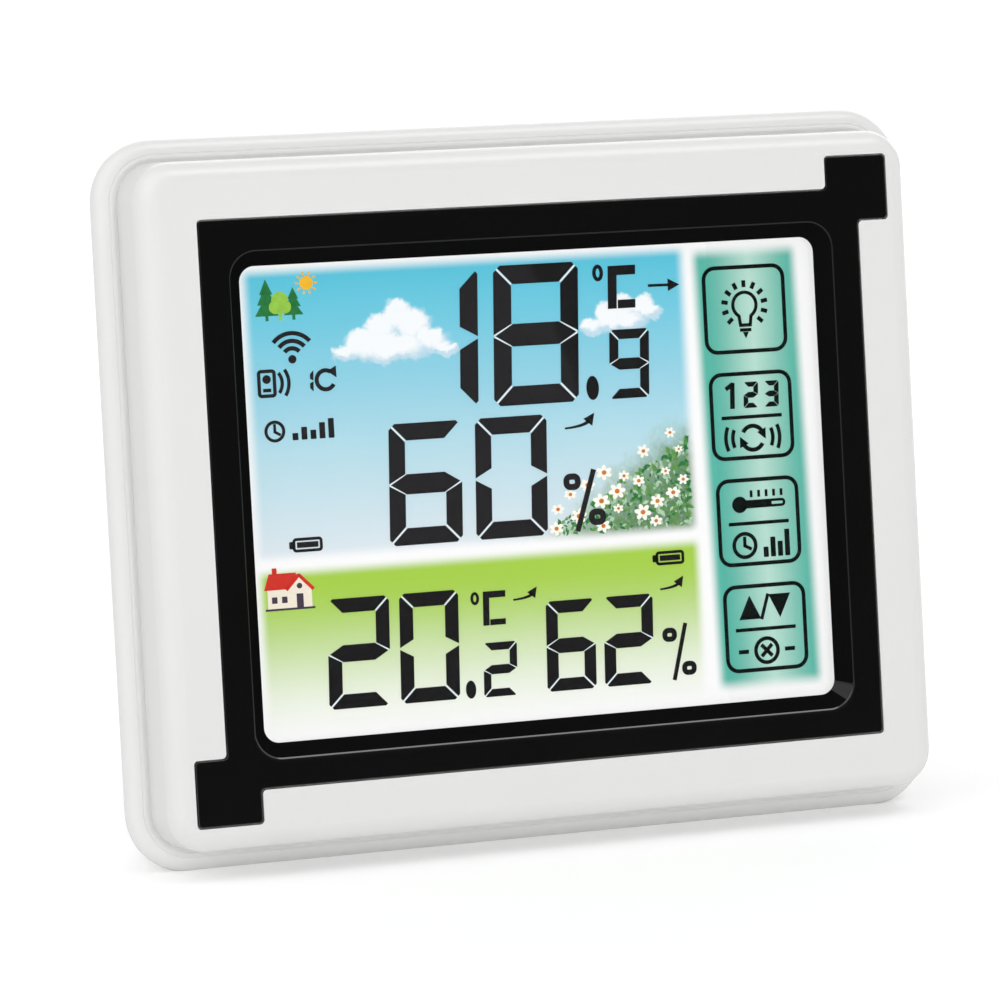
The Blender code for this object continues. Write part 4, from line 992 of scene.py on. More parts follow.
class STATION_OT_back(bpy.types.Operator):
    """Rear cover, battery door with its grip and fold-out stand with its foot ridges"""
    bl_idname = "station.back"
    bl_label = "Back, door and stand"

    def execute(self, context):
        casing = context.scene.station_casing
        look = textured_plastic("casing_texture", casing.white)
        console = console_place()
        joints = frame["record"]["behaviour"]["joints"]
        hinge = next(joint for joint in joints if joint["name"] == "stand_hinge")
        opened = math.radians(-hinge["range_deg"][0])
        leg = Matrix.Translation(hinge["pos_m"]) @ Matrix.Rotation(opened - LEAN, 4, "X")
        lid_grips = self.grooves(LID_GRIPS, BACK, LID_GRIP_TOP)
        leg_grips = self.grooves([STAND_GRIP] * STAND_GRIPS, STAND_FACE, STAND_GRIP_TOP)
        for node, name, body, place, hollows in (
                ("rear_cover", "rear_shell", "console", console, [LID_NOTCH]),
                ("battery_door", "battery_lid", "battery_door", console, lid_grips),
                ("stand", "stand_leg", "stand", leg, leg_grips)):
            tool = bmesh.new()
            for low, high in hollows:
                softened_block(tool, low, high, GRIP_ROUND)
            bmesh.ops.transform(tool, matrix=place, verts=tool.verts)
            shape = combined(merged_copy(node), ("DIFFERENCE", tool))
            piece = settle(name, shape, [look], body, [node], Matrix.Identity(4))
            soften(piece, casing.moulded_edge, 2)
        return {"FINISHED"}

    def grooves(self, halves, face, top):
        """Corners of the blocks that cut grip grooves of some half widths into an outer face."""
        heights = [top - index * GRIP_PITCH for index in range(len(halves))]
        return [((-half, face - GRIP_DEPTH, height - GRIP_HEIGHT), (half, face + SPARE, height))
                for half, height in zip(halves, heights)]


class STATION_OT_display(bpy.types.Operator):
    """Window, touch film and the display's print"""
    bl_idname = "station.display"
    bl_label = "Display"

    def execute(self, context):
        display = context.scene.station_display
        paint(display_print(display), "lcd_panel", "colour_film")
        paint(clear_sheet("window_clear_gloss", screen(70, 78, 80), 0.012), "touch_window")
        paint(clear_sheet("touch_film_clear", screen(70, 90, 84), 0.008), "touch_film")
        return {"FINISHED"}


# Printed signs
class Ink:
    """Flat printed shapes, in millimetres right and up from the middle of the front face."""

    def __init__(self):
        self.shape = bmesh.new()

    def polygon(self, points):
        return self.shape.faces.new([self.shape.verts.new((x, 0.0, z)) for x, z in points])

    def disc(self, x, z, half_x, half_z=None, turn=0.0, sides=DISC_SIDES):
        corners = bmesh.ops.create_circle(
            self.shape, cap_ends=True, segments=sides, radius=1.0,
            matrix=flat_place(x, z, half_x, half_z or half_x, turn))["verts"]
        return corners[0].link_faces[0]

    def leaf(self, x, z, half_x, half_z, turn):
        """Pointed leaf of a few edges."""
        along = Vector((math.cos(turn), math.sin(turn))) * half_x
        across = Vector((-math.sin(turn), math.cos(turn))) * half_z
        middle = Vector((x, z))
        self.polygon([middle - along, middle - across, middle + along * 0.4 - across * 0.8, middle + along,
                      middle + along * 0.4 + across * 0.8, middle + across])

    def hollow(self, face, stroke):
        """Leaves only a line along a face's outline."""
        bmesh.ops.inset_region(self.shape, faces=[face], thickness=stroke, use_boundary=True,
                               use_even_offset=True)
        bmesh.ops.delete(self.shape, geom=[face], context="FACES_ONLY")

    def ring(self, x, z, half_x, half_z, stroke):
        self.hollow(self.disc(x, z, half_x, half_z), stroke)

    def oblong(self, x, z, half_x, half_z, turn=0.0):
        place = flat_place(x, z, half_x, half_z, turn)
        return bmesh.ops.create_grid(self.shape, x_segments=1, y_segments=1, size=1.0, matrix=place)["verts"]

    def panel(self, left, right, bottom, top, radius):
        corners = self.oblong((left + right) / 2, (bottom + top) / 2, (right - left) / 2, (top - bottom) / 2)
        rounded = bmesh.ops.bevel(self.shape, geom=corners, offset=radius, segments=ROUND_STEPS, profile=0.5,
                                  affect="VERTICES", material=-1)
        return rounded["verts"][0].link_faces[0]

    def outline(self, left, right, bottom, top, radius, stroke):
        self.hollow(self.panel(left, right, bottom, top, radius), stroke)

    def bar(self, start, end, width):
        run = Vector(end) - Vector(start)
        middle = (Vector(start) + Vector(end)) / 2
        self.oblong(middle.x, middle.y, run.length / 2, width / 2, math.atan2(run.y, run.x))

    def rays(self, middle, near, far, width, angles):
        """Short bars around a middle, at angles in degrees."""
        for turn in map(math.radians, angles):
            ray = Vector((math.cos(turn), math.sin(turn)))
            self.bar(Vector(middle) + ray * near, Vector(middle) + ray * far, width)

    def level_bars(self, left, bottom, pitch, width, heights):
        """Row of upright bars on one line."""
        for index, height in enumerate(heights):
            start = left + pitch * index
            self.panel(start, start + width, bottom, bottom + height, 0.1)

    def arc(self, x, z, radius, start, sweep, stroke):
        """Part of a ring from the start angle over the sweep, both in degrees."""
        turn = math.radians(start)
        ends = [self.shape.verts.new((x + reach * math.cos(turn), 0.0, z + reach * math.sin(turn)))
                for reach in (radius - stroke / 2, radius + stroke / 2)]
        line = self.shape.edges.new(ends)
        bmesh.ops.spin(self.shape, geom=ends + [line], cent=(x, 0.0, z), axis=(0.0, -1.0, 0.0),
                       dvec=(0.0, 0.0, 0.0), angle=math.radians(sweep),
                       steps=max(ROUND_STEPS, int(abs(sweep) / ARC_STEP)), use_duplicate=False)

    def head(self, tip, turn, size):
        """Triangle that points to the turn angle."""
        along = Vector((math.cos(turn), math.sin(turn)))
        across = Vector((-along.y, along.x)) * size * 0.5
        foot = Vector(tip) - along * size
        self.polygon([tuple(tip), tuple(foot + across), tuple(foot - across)])

    def arrow(self, start, end, width, size):
        """Straight arrow."""
        run = Vector(end) - Vector(start)
        self.bar(start, Vector(end) - run.normalized() * size * 0.8, width)
        self.head(end, math.atan2(run.y, run.x), size)

    def swing(self, start, end, width, size):
        """Rising arrow whose stem starts level and curves up."""
        start, end = Vector(start), Vector(end)
        bend = Vector((start.x + 0.68 * (end.x - start.x), start.y + 0.08 * (end.y - start.y)))
        last = end - (end - bend).normalized() * 0.8 * size
        shares = [step / 8 for step in range(9)]
        stem = [(1 - t) ** 2 * start + 2 * t * (1 - t) * bend + t ** 2 * last for t in shares]
        for share, here, there in zip(shares, stem, stem[1:]):
            self.bar(here, there + (there - here) * 0.1, width * (0.6 + 0.5 * share))
        self.head(end, math.atan2(end.y - bend.y, end.x - bend.x), size)

    def digit(self, figure, left, bottom, width, height, stroke, slant, gap):
        """Seven-segment figure that leans to the right by the slant."""
        for name in SEGMENTS[figure]:
            points = segment_points(name, width, height, stroke, gap)
            self.polygon([(left + x + slant * z, bottom + z) for x, z in points])

    def joints(self, figure, left, bottom, width, height, stroke, slant, gap):
        """Pale lines where two lit segments of a figure meet."""
        corner, bar = FIGURE_CORNER * stroke, FIGURE_BAR * stroke
        for pair, on_right, low, at_middle in JOINTS:
            if set(pair) <= set(SEGMENTS[figure]):
                ends = [(corner / 2, height - corner / 2), (stroke, height - stroke)]
                if at_middle:
                    ends = [(0.6 * gap, height / 2 + 0.4 * gap), (stroke, height / 2 + bar / 2)]
                ends = [(width - x if on_right else x, height - z if low else z) for x, z in ends]
                self.bar(*[(left + x + slant * z, bottom + z) for x, z in ends], 1.15 * gap)

    def celsius(self, left, right, bottom, top, stroke, slant):
        """Scale letter of a hook and a foot with a small gap between them."""
        gap = 0.12 * stroke
        hook = [(left, bottom), (left + stroke, bottom), (left + stroke, top - stroke), (right, top - stroke),
                (right, top), (left, top)]
        foot = [(left + stroke + gap, bottom), (right, bottom), (right, bottom + 0.9 * stroke),
                (left + stroke + gap, bottom + 0.9 * stroke)]
        for points in (hook, foot):
            self.polygon([(x + slant * (z - bottom), z) for x, z in points])

    def print(self, name, look, slot, layer):
        """Makes the printed piece, as thick as its layer."""
        near, far = layer
        bmesh.ops.translate(self.shape, vec=(0.0, near, 0.0), verts=self.shape.verts)
        extrude(self.shape, far - near)
        bmesh.ops.scale(self.shape, vec=(MM, MM, MM), verts=self.shape.verts)
        return settle(name, self.shape, [look])


def flat_place(x, z, half_x, half_z, turn=0.0):
    """Places a flat shape of unit size in the display's plane."""
    size = Matrix.Diagonal((half_x, half_z, 1.0, 1.0))
    lie = Matrix.Rotation(math.pi / 2, 4, "X") @ Matrix.Rotation(turn, 4, "Z")
    return Matrix.Translation((x, 0.0, z)) @ lie @ size


# Cut corners and middle bar of a figure as shares of its stroke, and the lit segments of each figure
FIGURE_CORNER, FIGURE_BAR = 0.36, 1.18
SEGMENTS = {"0": "abcdef", "1": "bc", "2": "abdeg", "3": "abcdg",
            "6": "acdefg", "8": "abcdefg", "9": "abcdfg"}

# Pairs of segments that meet, and whether on the right, in the lower half and at the middle bar
JOINTS = (("af", False, False, False), ("ab", True, False, False), ("de", False, True, False),
          ("cd", True, True, False), ("fg", False, False, True), ("bg", True, False, True),
          ("eg", False, True, True), ("cg", True, True, True))


def segment_points(name, width, height, stroke, gap):
    """Outline of one segment of a figure that stands on z = 0."""
    corner, bar = FIGURE_CORNER * stroke, FIGURE_BAR * stroke
    middle = height / 2
    if name in "ad":
        side, top = (corner + gap) / 2, height - (corner - gap) / 2
        points = [(side, top), (corner, height), (width - corner, height), (width - side, top),
                  (width - stroke - gap, height - stroke), (stroke + gap, height - stroke)]
    elif name == "g":
        rise, tip = bar / 2, 1.2 * gap
        points = [(tip, middle), (stroke + gap, middle + rise), (width - stroke - gap, middle + rise),
                  (width - tip, middle), (width - stroke - gap, middle - rise), (stroke + gap, middle - rise)]
    else:
        points = [((corner - gap) / 2, height - (corner + gap) / 2), (stroke, height - stroke - gap),
                  (stroke, middle + bar / 2 + 0.1 * gap), (0.0, middle + 0.7 * gap), (0.0, height - corner)]
    if name in "bc":
        points = [(width - x, z) for x, z in points]
    if name in "cde":
        points = [(x, height - z) for x, z in points]
    return points


class STATION_OT_readings(bpy.types.Operator):
    """Seven-segment readings with their units, trend arrows and battery marks"""
    bl_idname = "station.readings"
    bl_label = "Readings"

    def execute(self, context):
        display = context.scene.station_display
        look = segment_ink("segment_black", display.segment)
        pale = ink("segment_gap", screen(226, 238, 242), 0.02, display)

        outdoor = Ink()
        outdoor.disc(8.87, 13.2, 0.97, 1.74)
        outdoor.ring(10.58, 29.73, 0.84, 1.22, 0.54)
        outdoor.celsius(11.9, 16.2, 24.45, 30.65, 1.38, 0.047)
        outdoor.arrow((18.36, 27.5), (23.27, 27.44), 0.4, 1.8)
        outdoor.swing((4.23, 7.6), (8.9, 9.6), 0.5, 1.7)
        percent(outdoor, (4.9, -0.15), (8.56, -5.45), (8.34, 1.45), (5.39, -7.34), 1.34, 0.78)
        outdoor.print("outdoor_units", look, "display_glass", LAYER_SEGMENT)

        indoor = Ink()
        indoor.disc(-12.37, -28.9, 0.78, 1.3)
        indoor.ring(-11.06, -15.9, 0.66, 0.94, 0.42)
        indoor.celsius(-9.95, -6.5, -19.9, -15.0, 0.95, 0.035)
        indoor.swing((-5.14, -16.52), (-1.45, -14.85), 0.45, 1.5)
        indoor.swing((17.79, -16.68), (21.5, -14.95), 0.45, 1.5)
        percent(indoor, (18.9, -23.4), (21.75, -28.45), (21.46, -21.85), (19.32, -30.05), 1.14, 0.62)
        indoor.print("indoor_units", look, "display_glass", LAYER_SEGMENT)

        for name, figures in READINGS.items():
            front, gaps = Ink(), Ink()
            for figure in figures:
                front.digit(*figure)
                gaps.joints(*figure)
            front.print(name, look, "display_glass", LAYER_SEGMENT)
            gaps.print(f"{name}_gaps", pale, "display_glass", LAYER_GAP)

        marks = Ink()
        battery_mark(marks, -38.6, -7.4)
        battery_mark(marks, 16.83, -13.2)
        signal_mark(marks, -36.6, 19.94)
        sensor_row(marks)
        history_row(marks)
        marks.print("status_marks", look, "display_glass", LAYER_SEGMENT)
        return {"FINISHED"}


# Figures of each reading: figure, left, bottom, width, height, stroke, slant and gap in millimetres
READINGS = {
    "outdoor_temperature": (
        ("1", -22.0, 11.4, 13.1, 20.15, 2.75, 0.047, 0.24),
        ("8", -6.48, 11.4, 13.1, 20.15, 2.75, 0.047, 0.24),
        ("9", 11.45, 11.4, 6.2, 10.0, 1.4, 0.047, 0.17)),
    "outdoor_humidity": (
        ("6", -23.48, -7.55, 11.1, 17.4, 2.45, 0.042, 0.22),
        ("0", -10.3, -7.55, 11.03, 17.4, 2.45, 0.042, 0.22)),
    "indoor_temperature": (
        ("2", -33.95, -30.1, 9.3, 15.7, 2.05, 0.035, 0.2),
        ("0", -23.09, -30.1, 8.98, 15.7, 2.05, 0.035, 0.2),
        ("2", -10.4, -30.2, 5.15, 7.8, 1.12, 0.035, 0.14)),
    "indoor_humidity": (
        ("6", -0.61, -30.2, 7.65, 13.05, 1.8, 0.033, 0.18),
        ("2", 8.38, -30.2, 7.7, 13.05, 1.8, 0.033, 0.18)),
}


def percent(marks, upper, lower, top, foot, radius, width):
    """Two rings with a slash between them."""
    for x, z in (upper, lower):
        marks.outline(x - radius, x + radius, z - 0.9 * radius, z + 0.9 * radius, 0.8 * radius, 0.68 * radius)
    marks.bar(foot, top, width)


def battery_mark(marks, left, bottom):
    """Lying cell with its charge."""
    marks.outline(left + 0.5, left + 5.0, bottom, bottom + 2.05, 0.55, 0.42)
    marks.panel(left, left + 0.7, bottom + 0.5, bottom + 1.55, 0.2)
    marks.panel(left + 1.15, left + 4.35, bottom + 0.62, bottom + 1.43, 0.1)


def signal_mark(marks, x, z):
    """Dot under three waves."""
    marks.disc(x, z, 0.6)
    for radius in (1.45, 2.5, 3.6):
        marks.arc(x, z + 0.1, radius, 41.0, 98.0, 0.62)


def sensor_row(marks):
    """Sensor sign, its plain number and a loop arrow."""
    marks.outline(-42.0, -39.2, 14.7, 18.7, 0.6, 0.5)
    marks.disc(-40.6, 17.3, 0.62)
    marks.bar((-41.2, 15.75), (-40.0, 15.75), 0.5)
    marks.arc(-40.6, 16.7, 2.3, -38.0, 76.0, 0.5)
    marks.arc(-40.6, 16.7, 3.3, -34.0, 68.0, 0.5)
    marks.digit("1", -35.9, 15.1, 2.2, 3.2, 0.5, 0.04, 0.1)
    marks.arc(-31.8, 16.75, 1.35, 55.0, 275.0, 0.6)
    marks.head((-30.15, 17.0), math.radians(-62.0), 1.5)


def history_row(marks):
    """Clock and bars for the stored readings."""
    marks.ring(-39.8, 9.9, 1.55, 1.55, 0.45)
    marks.bar((-39.8, 9.75), (-39.8, 10.95), 0.4)
    marks.bar((-39.95, 9.9), (-38.95, 9.35), 0.4)
    marks.level_bars(-37.2, 8.5, 1.35, 0.85, (1.0, 1.8, 1.3, 2.3, 2.8))


class STATION_OT_keys(bpy.types.Operator):
    """Outlines and signs of the four touch keys"""
    bl_idname = "station.keys"
    bl_label = "Touch keys"

    def execute(self, context):
        look = ink("key_black", context.scene.station_display.key)
        for index, sign in enumerate((lamp_sign, channel_sign, memory_sign, scale_sign)):
            key = Ink()
            x, z = (first + index * step for first, step in zip(KEY_FIRST, KEY_STEP))
            half_x, half_z = KEY_HALF
            key.outline(x - half_x, x + half_x, z - half_z, z + half_z, KEY_CORNER, KEY_LINE)
            sign(key, x, z)
            key.print(f"touch_key_{index + 1}", look, "printed_film", LAYER_KEY)
        return {"FINISHED"}


def lamp_sign(key, x, z):
    """Bulb with rays."""
    key.arc(x, z + 0.6, 1.85, -58.0, 296.0, 0.5)
    for side in (-1, 1):
        key.bar((x + side * 0.98, z - 0.85), (x + side * 0.78, z - 2.3), 0.5)
    for level, half in ((2.35, 1.0), (3.05, 0.9)):
        key.bar((x - half, z - level), (x + half, z - level), 0.5)
    key.head((x, z - 4.3), -math.pi / 2, 0.95)
    key.rays((x, z + 0.5), 2.7, 3.7, 0.6, [-42.0 + 26.4 * step for step in range(11)])


def divider(key, x, z):
    """Level line across the middle of a key."""
    key.bar((x - 4.8, z - 0.2), (x + 4.8, z - 0.2), 0.52)


def channel_sign(key, x, z):
    """Plain numbers over turning arrows between waves."""
    divider(key, x, z)
    key.bar((x - 3.0, z + 1.1), (x - 2.85, z + 4.9), 0.72)
    key.bar((x - 3.95, z + 4.0), (x - 2.75, z + 4.75), 0.62)
    for index, figure in enumerate("23"):
        key.digit(figure, x - 1.2 + 3.3 * index, z + 1.1, 2.3, 3.8, 0.72, 0.04, 0.06)
    middle = Vector((x, z - 3.3))
    for side in (0.0, 180.0):
        key.arc(middle.x, middle.y, 1.75, 25.0 + side, 125.0, 0.62)
        turn = math.radians(25.0 + side)
        out = Vector((math.cos(turn), math.sin(turn)))
        along = Vector((math.sin(turn), -math.cos(turn)))
        key.head(middle + out * 1.75 + along * 1.1, turn - math.pi / 2, 1.5)
        for radius in (3.2, 4.3):
            key.arc(middle.x, middle.y, radius, side - 24.0, 48.0, 0.56)


def memory_sign(key, x, z):
    """Thermometer over a clock and bars."""
    divider(key, x, z)
    key.disc(x - 2.9, z + 2.6, 1.2)
    key.outline(x - 2.6, x + 4.4, z + 2.0, z + 3.2, 0.58, 0.4)
    key.bar((x - 2.6, z + 2.6), (x + 2.2, z + 2.6), 0.56)
    for index in range(5):
        tick = x - 1.0 + 1.2 * index
        key.bar((tick, z + 3.6), (tick, z + 4.6), 0.42)
    key.ring(x - 2.4, z - 3.4, 2.0, 2.0, 0.56)
    key.bar((x - 2.4, z - 3.55), (x - 2.4, z - 2.1), 0.5)
    key.bar((x - 2.6, z - 3.35), (x - 1.35, z - 4.0), 0.5)
    key.level_bars(x + 0.55, z - 5.3, 1.15, 0.78, (1.5, 2.9, 2.2, 3.9))


def scale_sign(key, x, z):
    """Up and down marks over a cross in a ring between dashes."""
    divider(key, x, z)
    key.head((x - 2.4, z + 4.8), math.pi / 2, 3.5)
    key.head((x + 2.4, z + 1.3), -math.pi / 2, 3.5)
    key.bar((x - 0.6, z + 1.2), (x + 0.6, z + 4.9), 0.5)
    key.ring(x, z - 3.4, 2.05, 2.05, 0.56)
    for side in (-1, 1):
        key.bar((x - 0.85, z - 3.4 - side * 0.85), (x + 0.85, z - 3.4 + side * 0.85), 0.56)
        key.bar((x + side * 2.9, z - 3.4), (x + side * 4.5, z - 3.4), 0.6)


class STATION_OT_pictures(bpy.types.Operator):
    """Small pictures: trees with a sun for outdoors, a house for indoors, and the meadow's flowers"""
    bl_idname = "station.pictures"
    bl_label = "Pictures"

    def execute(self, context):
        display = context.scene.station_display
        leaf = ink("leaf_dark", screen(44, 120, 64), 0.3, display)
        self.draw_trees(display, leaf)
        self.draw_house(display)
        self.draw_meadow(display, leaf)
        return {"FINISHED"}

    def draw_trees(self, display, leaf):
        """Two firs and a round tree beside the sun."""
        firs, crown, sun = Ink(), Ink(), Ink()
        for x, base, tall, half in ((-40.0, 26.2, 5.2, 1.75), (-36.0, 26.2, 3.9, 1.45)):
            for share in (0.0, 0.3, 0.58):
                reach = half * (1.0 - 0.75 * share)
                foot = base + tall * share
                tip = min(base + tall, foot + 0.55 * tall)
                firs.polygon([(x - reach, foot), (x + reach, foot), (x, tip)])
            firs.bar((x, base - 0.7), (x, base + 0.2), 0.45)
        for x, z, radius in ((-38.0, 28.3, 1.25), (-38.7, 27.4, 0.95), (-37.3, 27.4, 0.95)):
            crown.disc(x, z, radius)
        crown.bar((-38.0, 25.5), (-38.0, 27.0), 0.5)
        sun.disc(-33.9, 30.6, 1.0)
        sun.rays((-33.9, 30.6), 1.2, 1.65, 0.26, [36.0 * step for step in range(10)])
        light = ink("leaf_light", screen(150, 200, 78), 0.25, display)
        yellow = ink("sun_yellow", screen(246, 186, 52), 0.12, display)
        firs.print("tree_firs", leaf, "printed_film", LAYER_PICTURE)
        crown.print("tree_round", light, "printed_film", LAYER_ACCENT)
        sun.print("sun_sign", yellow, "printed_film", LAYER_PICTURE)

    def draw_house(self, display):
        """House with a gable, a chimney, a door and windows."""
        walls, roof, openings = Ink(), Ink(), Ink()
        walls.polygon([(-42.2, -15.2), (-35.6, -15.2), (-35.6, -12.4), (-37.4, -10.6),
                       (-39.2, -12.4), (-42.2, -12.4)])
        roof.polygon([(-42.7, -12.5), (-39.0, -12.5), (-37.6, -11.1), (-37.9, -10.2), (-41.9, -10.2)])
        roof.bar((-39.4, -12.6), (-37.4, -10.5), 0.5)
        roof.bar((-35.3, -12.7), (-37.5, -10.5), 0.5)
        roof.panel(-41.4, -40.7, -10.5, -9.4, 0.05)
        openings.panel(-37.9, -36.9, -15.2, -13.2, 0.1)
        for x in (-41.2, -39.7):
            openings.panel(x - 0.4, x + 0.4, -14.4, -13.5, 0.05)
        openings.disc(-37.4, -12.1, 0.4)
        openings.bar((-42.6, -15.3), (-35.2, -15.3), 0.3)
        cream = ink("wall_cream", screen(242, 232, 214), 0.06, display)
        red = ink("roof_red", screen(206, 54, 44), 0.2, display)
        dark = ink("picture_dark", screen(70, 62, 74), 0.2, display)
        walls.print("house_walls", cream, "printed_film", LAYER_PICTURE)
        roof.print("house_roof", red, "printed_film", LAYER_ACCENT)
        openings.print("house_openings", dark, "printed_film", LAYER_ACCENT)

    def draw_meadow(self, display, leaf):
        """Leaves in three greens with white flowers over them, denser to the right."""
        draw = random.Random(11)
        blade = ink("grass_blade", display.grass, 0.35, display)
        mist = ink("leaf_mist", screen(176, 206, 176), 0.2, display)
        for name, look in (("meadow_light", blade), ("meadow_dark", leaf), ("meadow_mist", mist)):
            leaves = Ink()
            for step in range(LEAVES):
                x = 23.3 - 21.0 * draw.random() ** 1.5
                share = (x - 2.0) / 21.0
                z = -7.6 + draw.random() * (1.5 + 11.0 * share)
                long = draw.uniform(0.25, 0.7)
                leaves.leaf(x, z, long, draw.uniform(0.35, 0.6) * long, draw.uniform(0.2, 2.9))
            leaves.print(name, look, "printed_film", LAYER_GRASS)
        petals, hearts = Ink(), Ink()
        places = []
        while len(places) < FLOWERS:
            x = 22.8 - 25.0 * draw.random() ** 1.15
            place = Vector((x, -6.9 + draw.random() * (2.2 + 12.0 * (x + 2.0) / 25.0)))
            if all((place - other).length > FLOWER_GAP for other in places):
                places.append(place)
                size, squash = draw.uniform(0.6, 1.35), draw.uniform(0.6, 1.0)
                blossom(petals, hearts, place, size, squash, draw.random())
        white = ink("petal_white", display.petal, 0.04, display)
        orange = ink("flower_heart", screen(206, 120, 46), 0.3, display)
        petals.print("meadow_petals", white, "printed_film", LAYER_PICTURE)
        hearts.print("meadow_hearts", orange, "printed_film", LAYER_ACCENT)


def blossom(petals, hearts, place, radius, squash, first):
    """Flower of round petals, seen at a slant."""
    for step in range(PETALS):
        turn = 2 * math.pi * (step + first) / PETALS
        out = Vector((math.cos(turn), squash * math.sin(turn)))
        middle = place + out * 0.6 * radius
        lie = math.atan2(out.y, out.x)
        petals.disc(middle.x, middle.y, 0.42 * radius, 0.27 * radius, lie, PETAL_SIDES)
    hearts.disc(place.x, place.y, 0.28 * radius, 0.26 * radius, sides=PETAL_SIDES)


# Batteries and wires
class STATION_OT_batteries(bpy.types.Operator):
    """Cells, cone springs, contact plates and leads"""
    bl_idname = "station.batteries"
    bl_label = "Batteries"

    def execute(self, context):
        steel = brushed_metal("nickel_plate", (0.66, 0.65, 0.62))
        jacket = cell_jacket("cell_sleeve")
        for index, height in enumerate(CELL_HEIGHTS, 1):
            side = 1 if index % 2 else -1
            base = Matrix.Translation((side * (PLATE_FACE - PLATE_GAP - CELL_L), CELL_DEPTH, height))
            cell = battery_cell(base @ Matrix.Rotation(side * math.pi / 2, 4, "Y"))
            settle(f"cell_{index}", cell, [jacket, steel],
                   replaced=[f"battery_cell_{index}"])
            spring = wire_shape(spring_path(-side, height), SPRING_WIRE)
            settle(f"spring_{index}", spring, [steel],
                   replaced=[f"battery_spring_{index}"])
        paint(steel, "contact_negative", "contact_positive", "contact_bridge_1", "contact_bridge_2")
        for pole, side, height, slot, tone in (
                ("negative", -1, CELL_HEIGHTS[0], "lead_black", screen(24, 24, 26)),
                ("positive", 1, CELL_HEIGHTS[2], "lead_red", screen(178, 26, 24))):
            lead = wire_shape(smooth_path(lead_stops(side, height), LEAD_STEPS), LEAD_WIRE)
            settle(f"lead_{pole}", lead, [lead_cover(f"{slot}_cover", tone)],
                   replaced=[f"battery_lead_{pole}"])
        return {"FINISHED"}


def battery_cell(place):
    """Cell with its rolled sleeve ends, crimp ring and plus nub; metal ends take the second finish."""
    radius, body = CELL_D / 2, CELL_L - CELL_NUB
    rim, dish, nub = radius - CELL_RIM, CELL_DISH, CELL_NUB_R
    profile = [(0.0, CELL_L), (nub - CELL_NUB_ROUND, CELL_L), (nub, CELL_L - CELL_NUB_ROUND),
               (nub, body - dish), (rim - CELL_NUB_ROUND, body - dish), (rim, body),
               (radius - CELL_ROUND, body), (radius, body - CELL_ROUND),
               (radius, CELL_ROUND), (radius - CELL_ROUND, 0.0), (rim, 0.0),
               (rim - 0.2 * MM, dish), (1.5 * MM, dish), (1.2 * MM, 0.1 * MM), (0.0, 0.1 * MM)]
    shape = spun(profile)
    for face in shape.faces:
        middle = face.calc_center_median()
        if math.hypot(middle.x, middle.y) < rim:
            face.material_index = 1
    bmesh.ops.transform(shape, matrix=place, verts=shape.verts)
    return shape


def spring_path(side, height):
    """Turns of a cone spring, from its contact plate towards the cell."""
    count = round(SPRING_TURNS * COIL_STEPS)
    points = []
    for step in range(count + 1):
        share = step / count
        turn = 2 * math.pi * SPRING_TURNS * share
        radius = SPRING_RADII[0] + (SPRING_RADII[1] - SPRING_RADII[0]) * share
        x = side * (PLATE_FACE - SPRING_GAP - SPRING_WIRE - SPRING_REACH * share)
        points.append(Vector((x, CELL_DEPTH + radius * math.cos(turn), height + radius * math.sin(turn))))
    return points


def lead_stops(side, height):
    """Route from a contact out through the battery box's wall and down to the board."""
    inner, wall, drop = (side * out for out in LEAD_OUT)
    upper = [(inner, CELL_DEPTH, height), (wall, CELL_DEPTH, height), (drop, CELL_DEPTH, height - LEAD_BEND)]
    return upper + [(drop, depth, level) for depth, level in LEAD_LOW]


class STATION_OT_electronics(bpy.types.Operator):
    """Boards, chips, light guide, antenna coil and the sheets behind the display"""
    bl_idname = "station.electronics"
    bl_label = "Electronics"

    def execute(self, context):
        paint(circuit_board("board_lacquer"), "main_board", "radio_board", "led_board")
        paint(matt_sheet("epoxy_potting", screen(26, 26, 28)), "controller_chip", "radio_chip")
        paint(matt_sheet("lamp_phosphor", screen(246, 226, 150)),
              "backlight_led_1", "backlight_led_2", "backlight_led_3")
        paint(matt_sheet("diffuser_white", screen(246, 247, 248)), "diffuser_sheet", "reflector_sheet")
        paint(matt_sheet("tray_white", screen(236, 237, 235)), "display_tray", "climate_sensor")
        paint(dotted_guide("guide_acrylic"), "light_guide")
        paint(layered_rubber("zebra_layers"), "zebra_strip")
        paint(brushed_metal("crystal_can", (0.7, 0.69, 0.66), (1400.0, 1400.0, 90.0)), "quartz_crystal")
        copper = brushed_metal("antenna_copper", (0.74, 0.38, 0.2), (600.0, 600.0, 600.0))
        coil = wire_shape(antenna_path(), ANTENNA_WIRE)
        settle("antenna_winding", coil, [copper], replaced=["antenna_coil"])
        return {"FINISHED"}


def antenna_path():
    """Straight leg on the radio board and the turns over it."""
    foot = ANTENNA_START + Vector((0.0, ANTENNA_GAP, 0.0))
    points = [foot, foot + Vector((0.0, ANTENNA_R / 2, 0.0))]
    axis = foot.y + 2 * ANTENNA_R
    for step in range(ANTENNA_TURNS * COIL_STEPS + 1):
        turns = step / COIL_STEPS
        turn = 2 * math.pi * turns
        points.append(Vector((foot.x + ANTENNA_PITCH * turns, axis - ANTENNA_R * math.cos(turn),
                              foot.z + ANTENNA_R * math.sin(turn))))
    return points


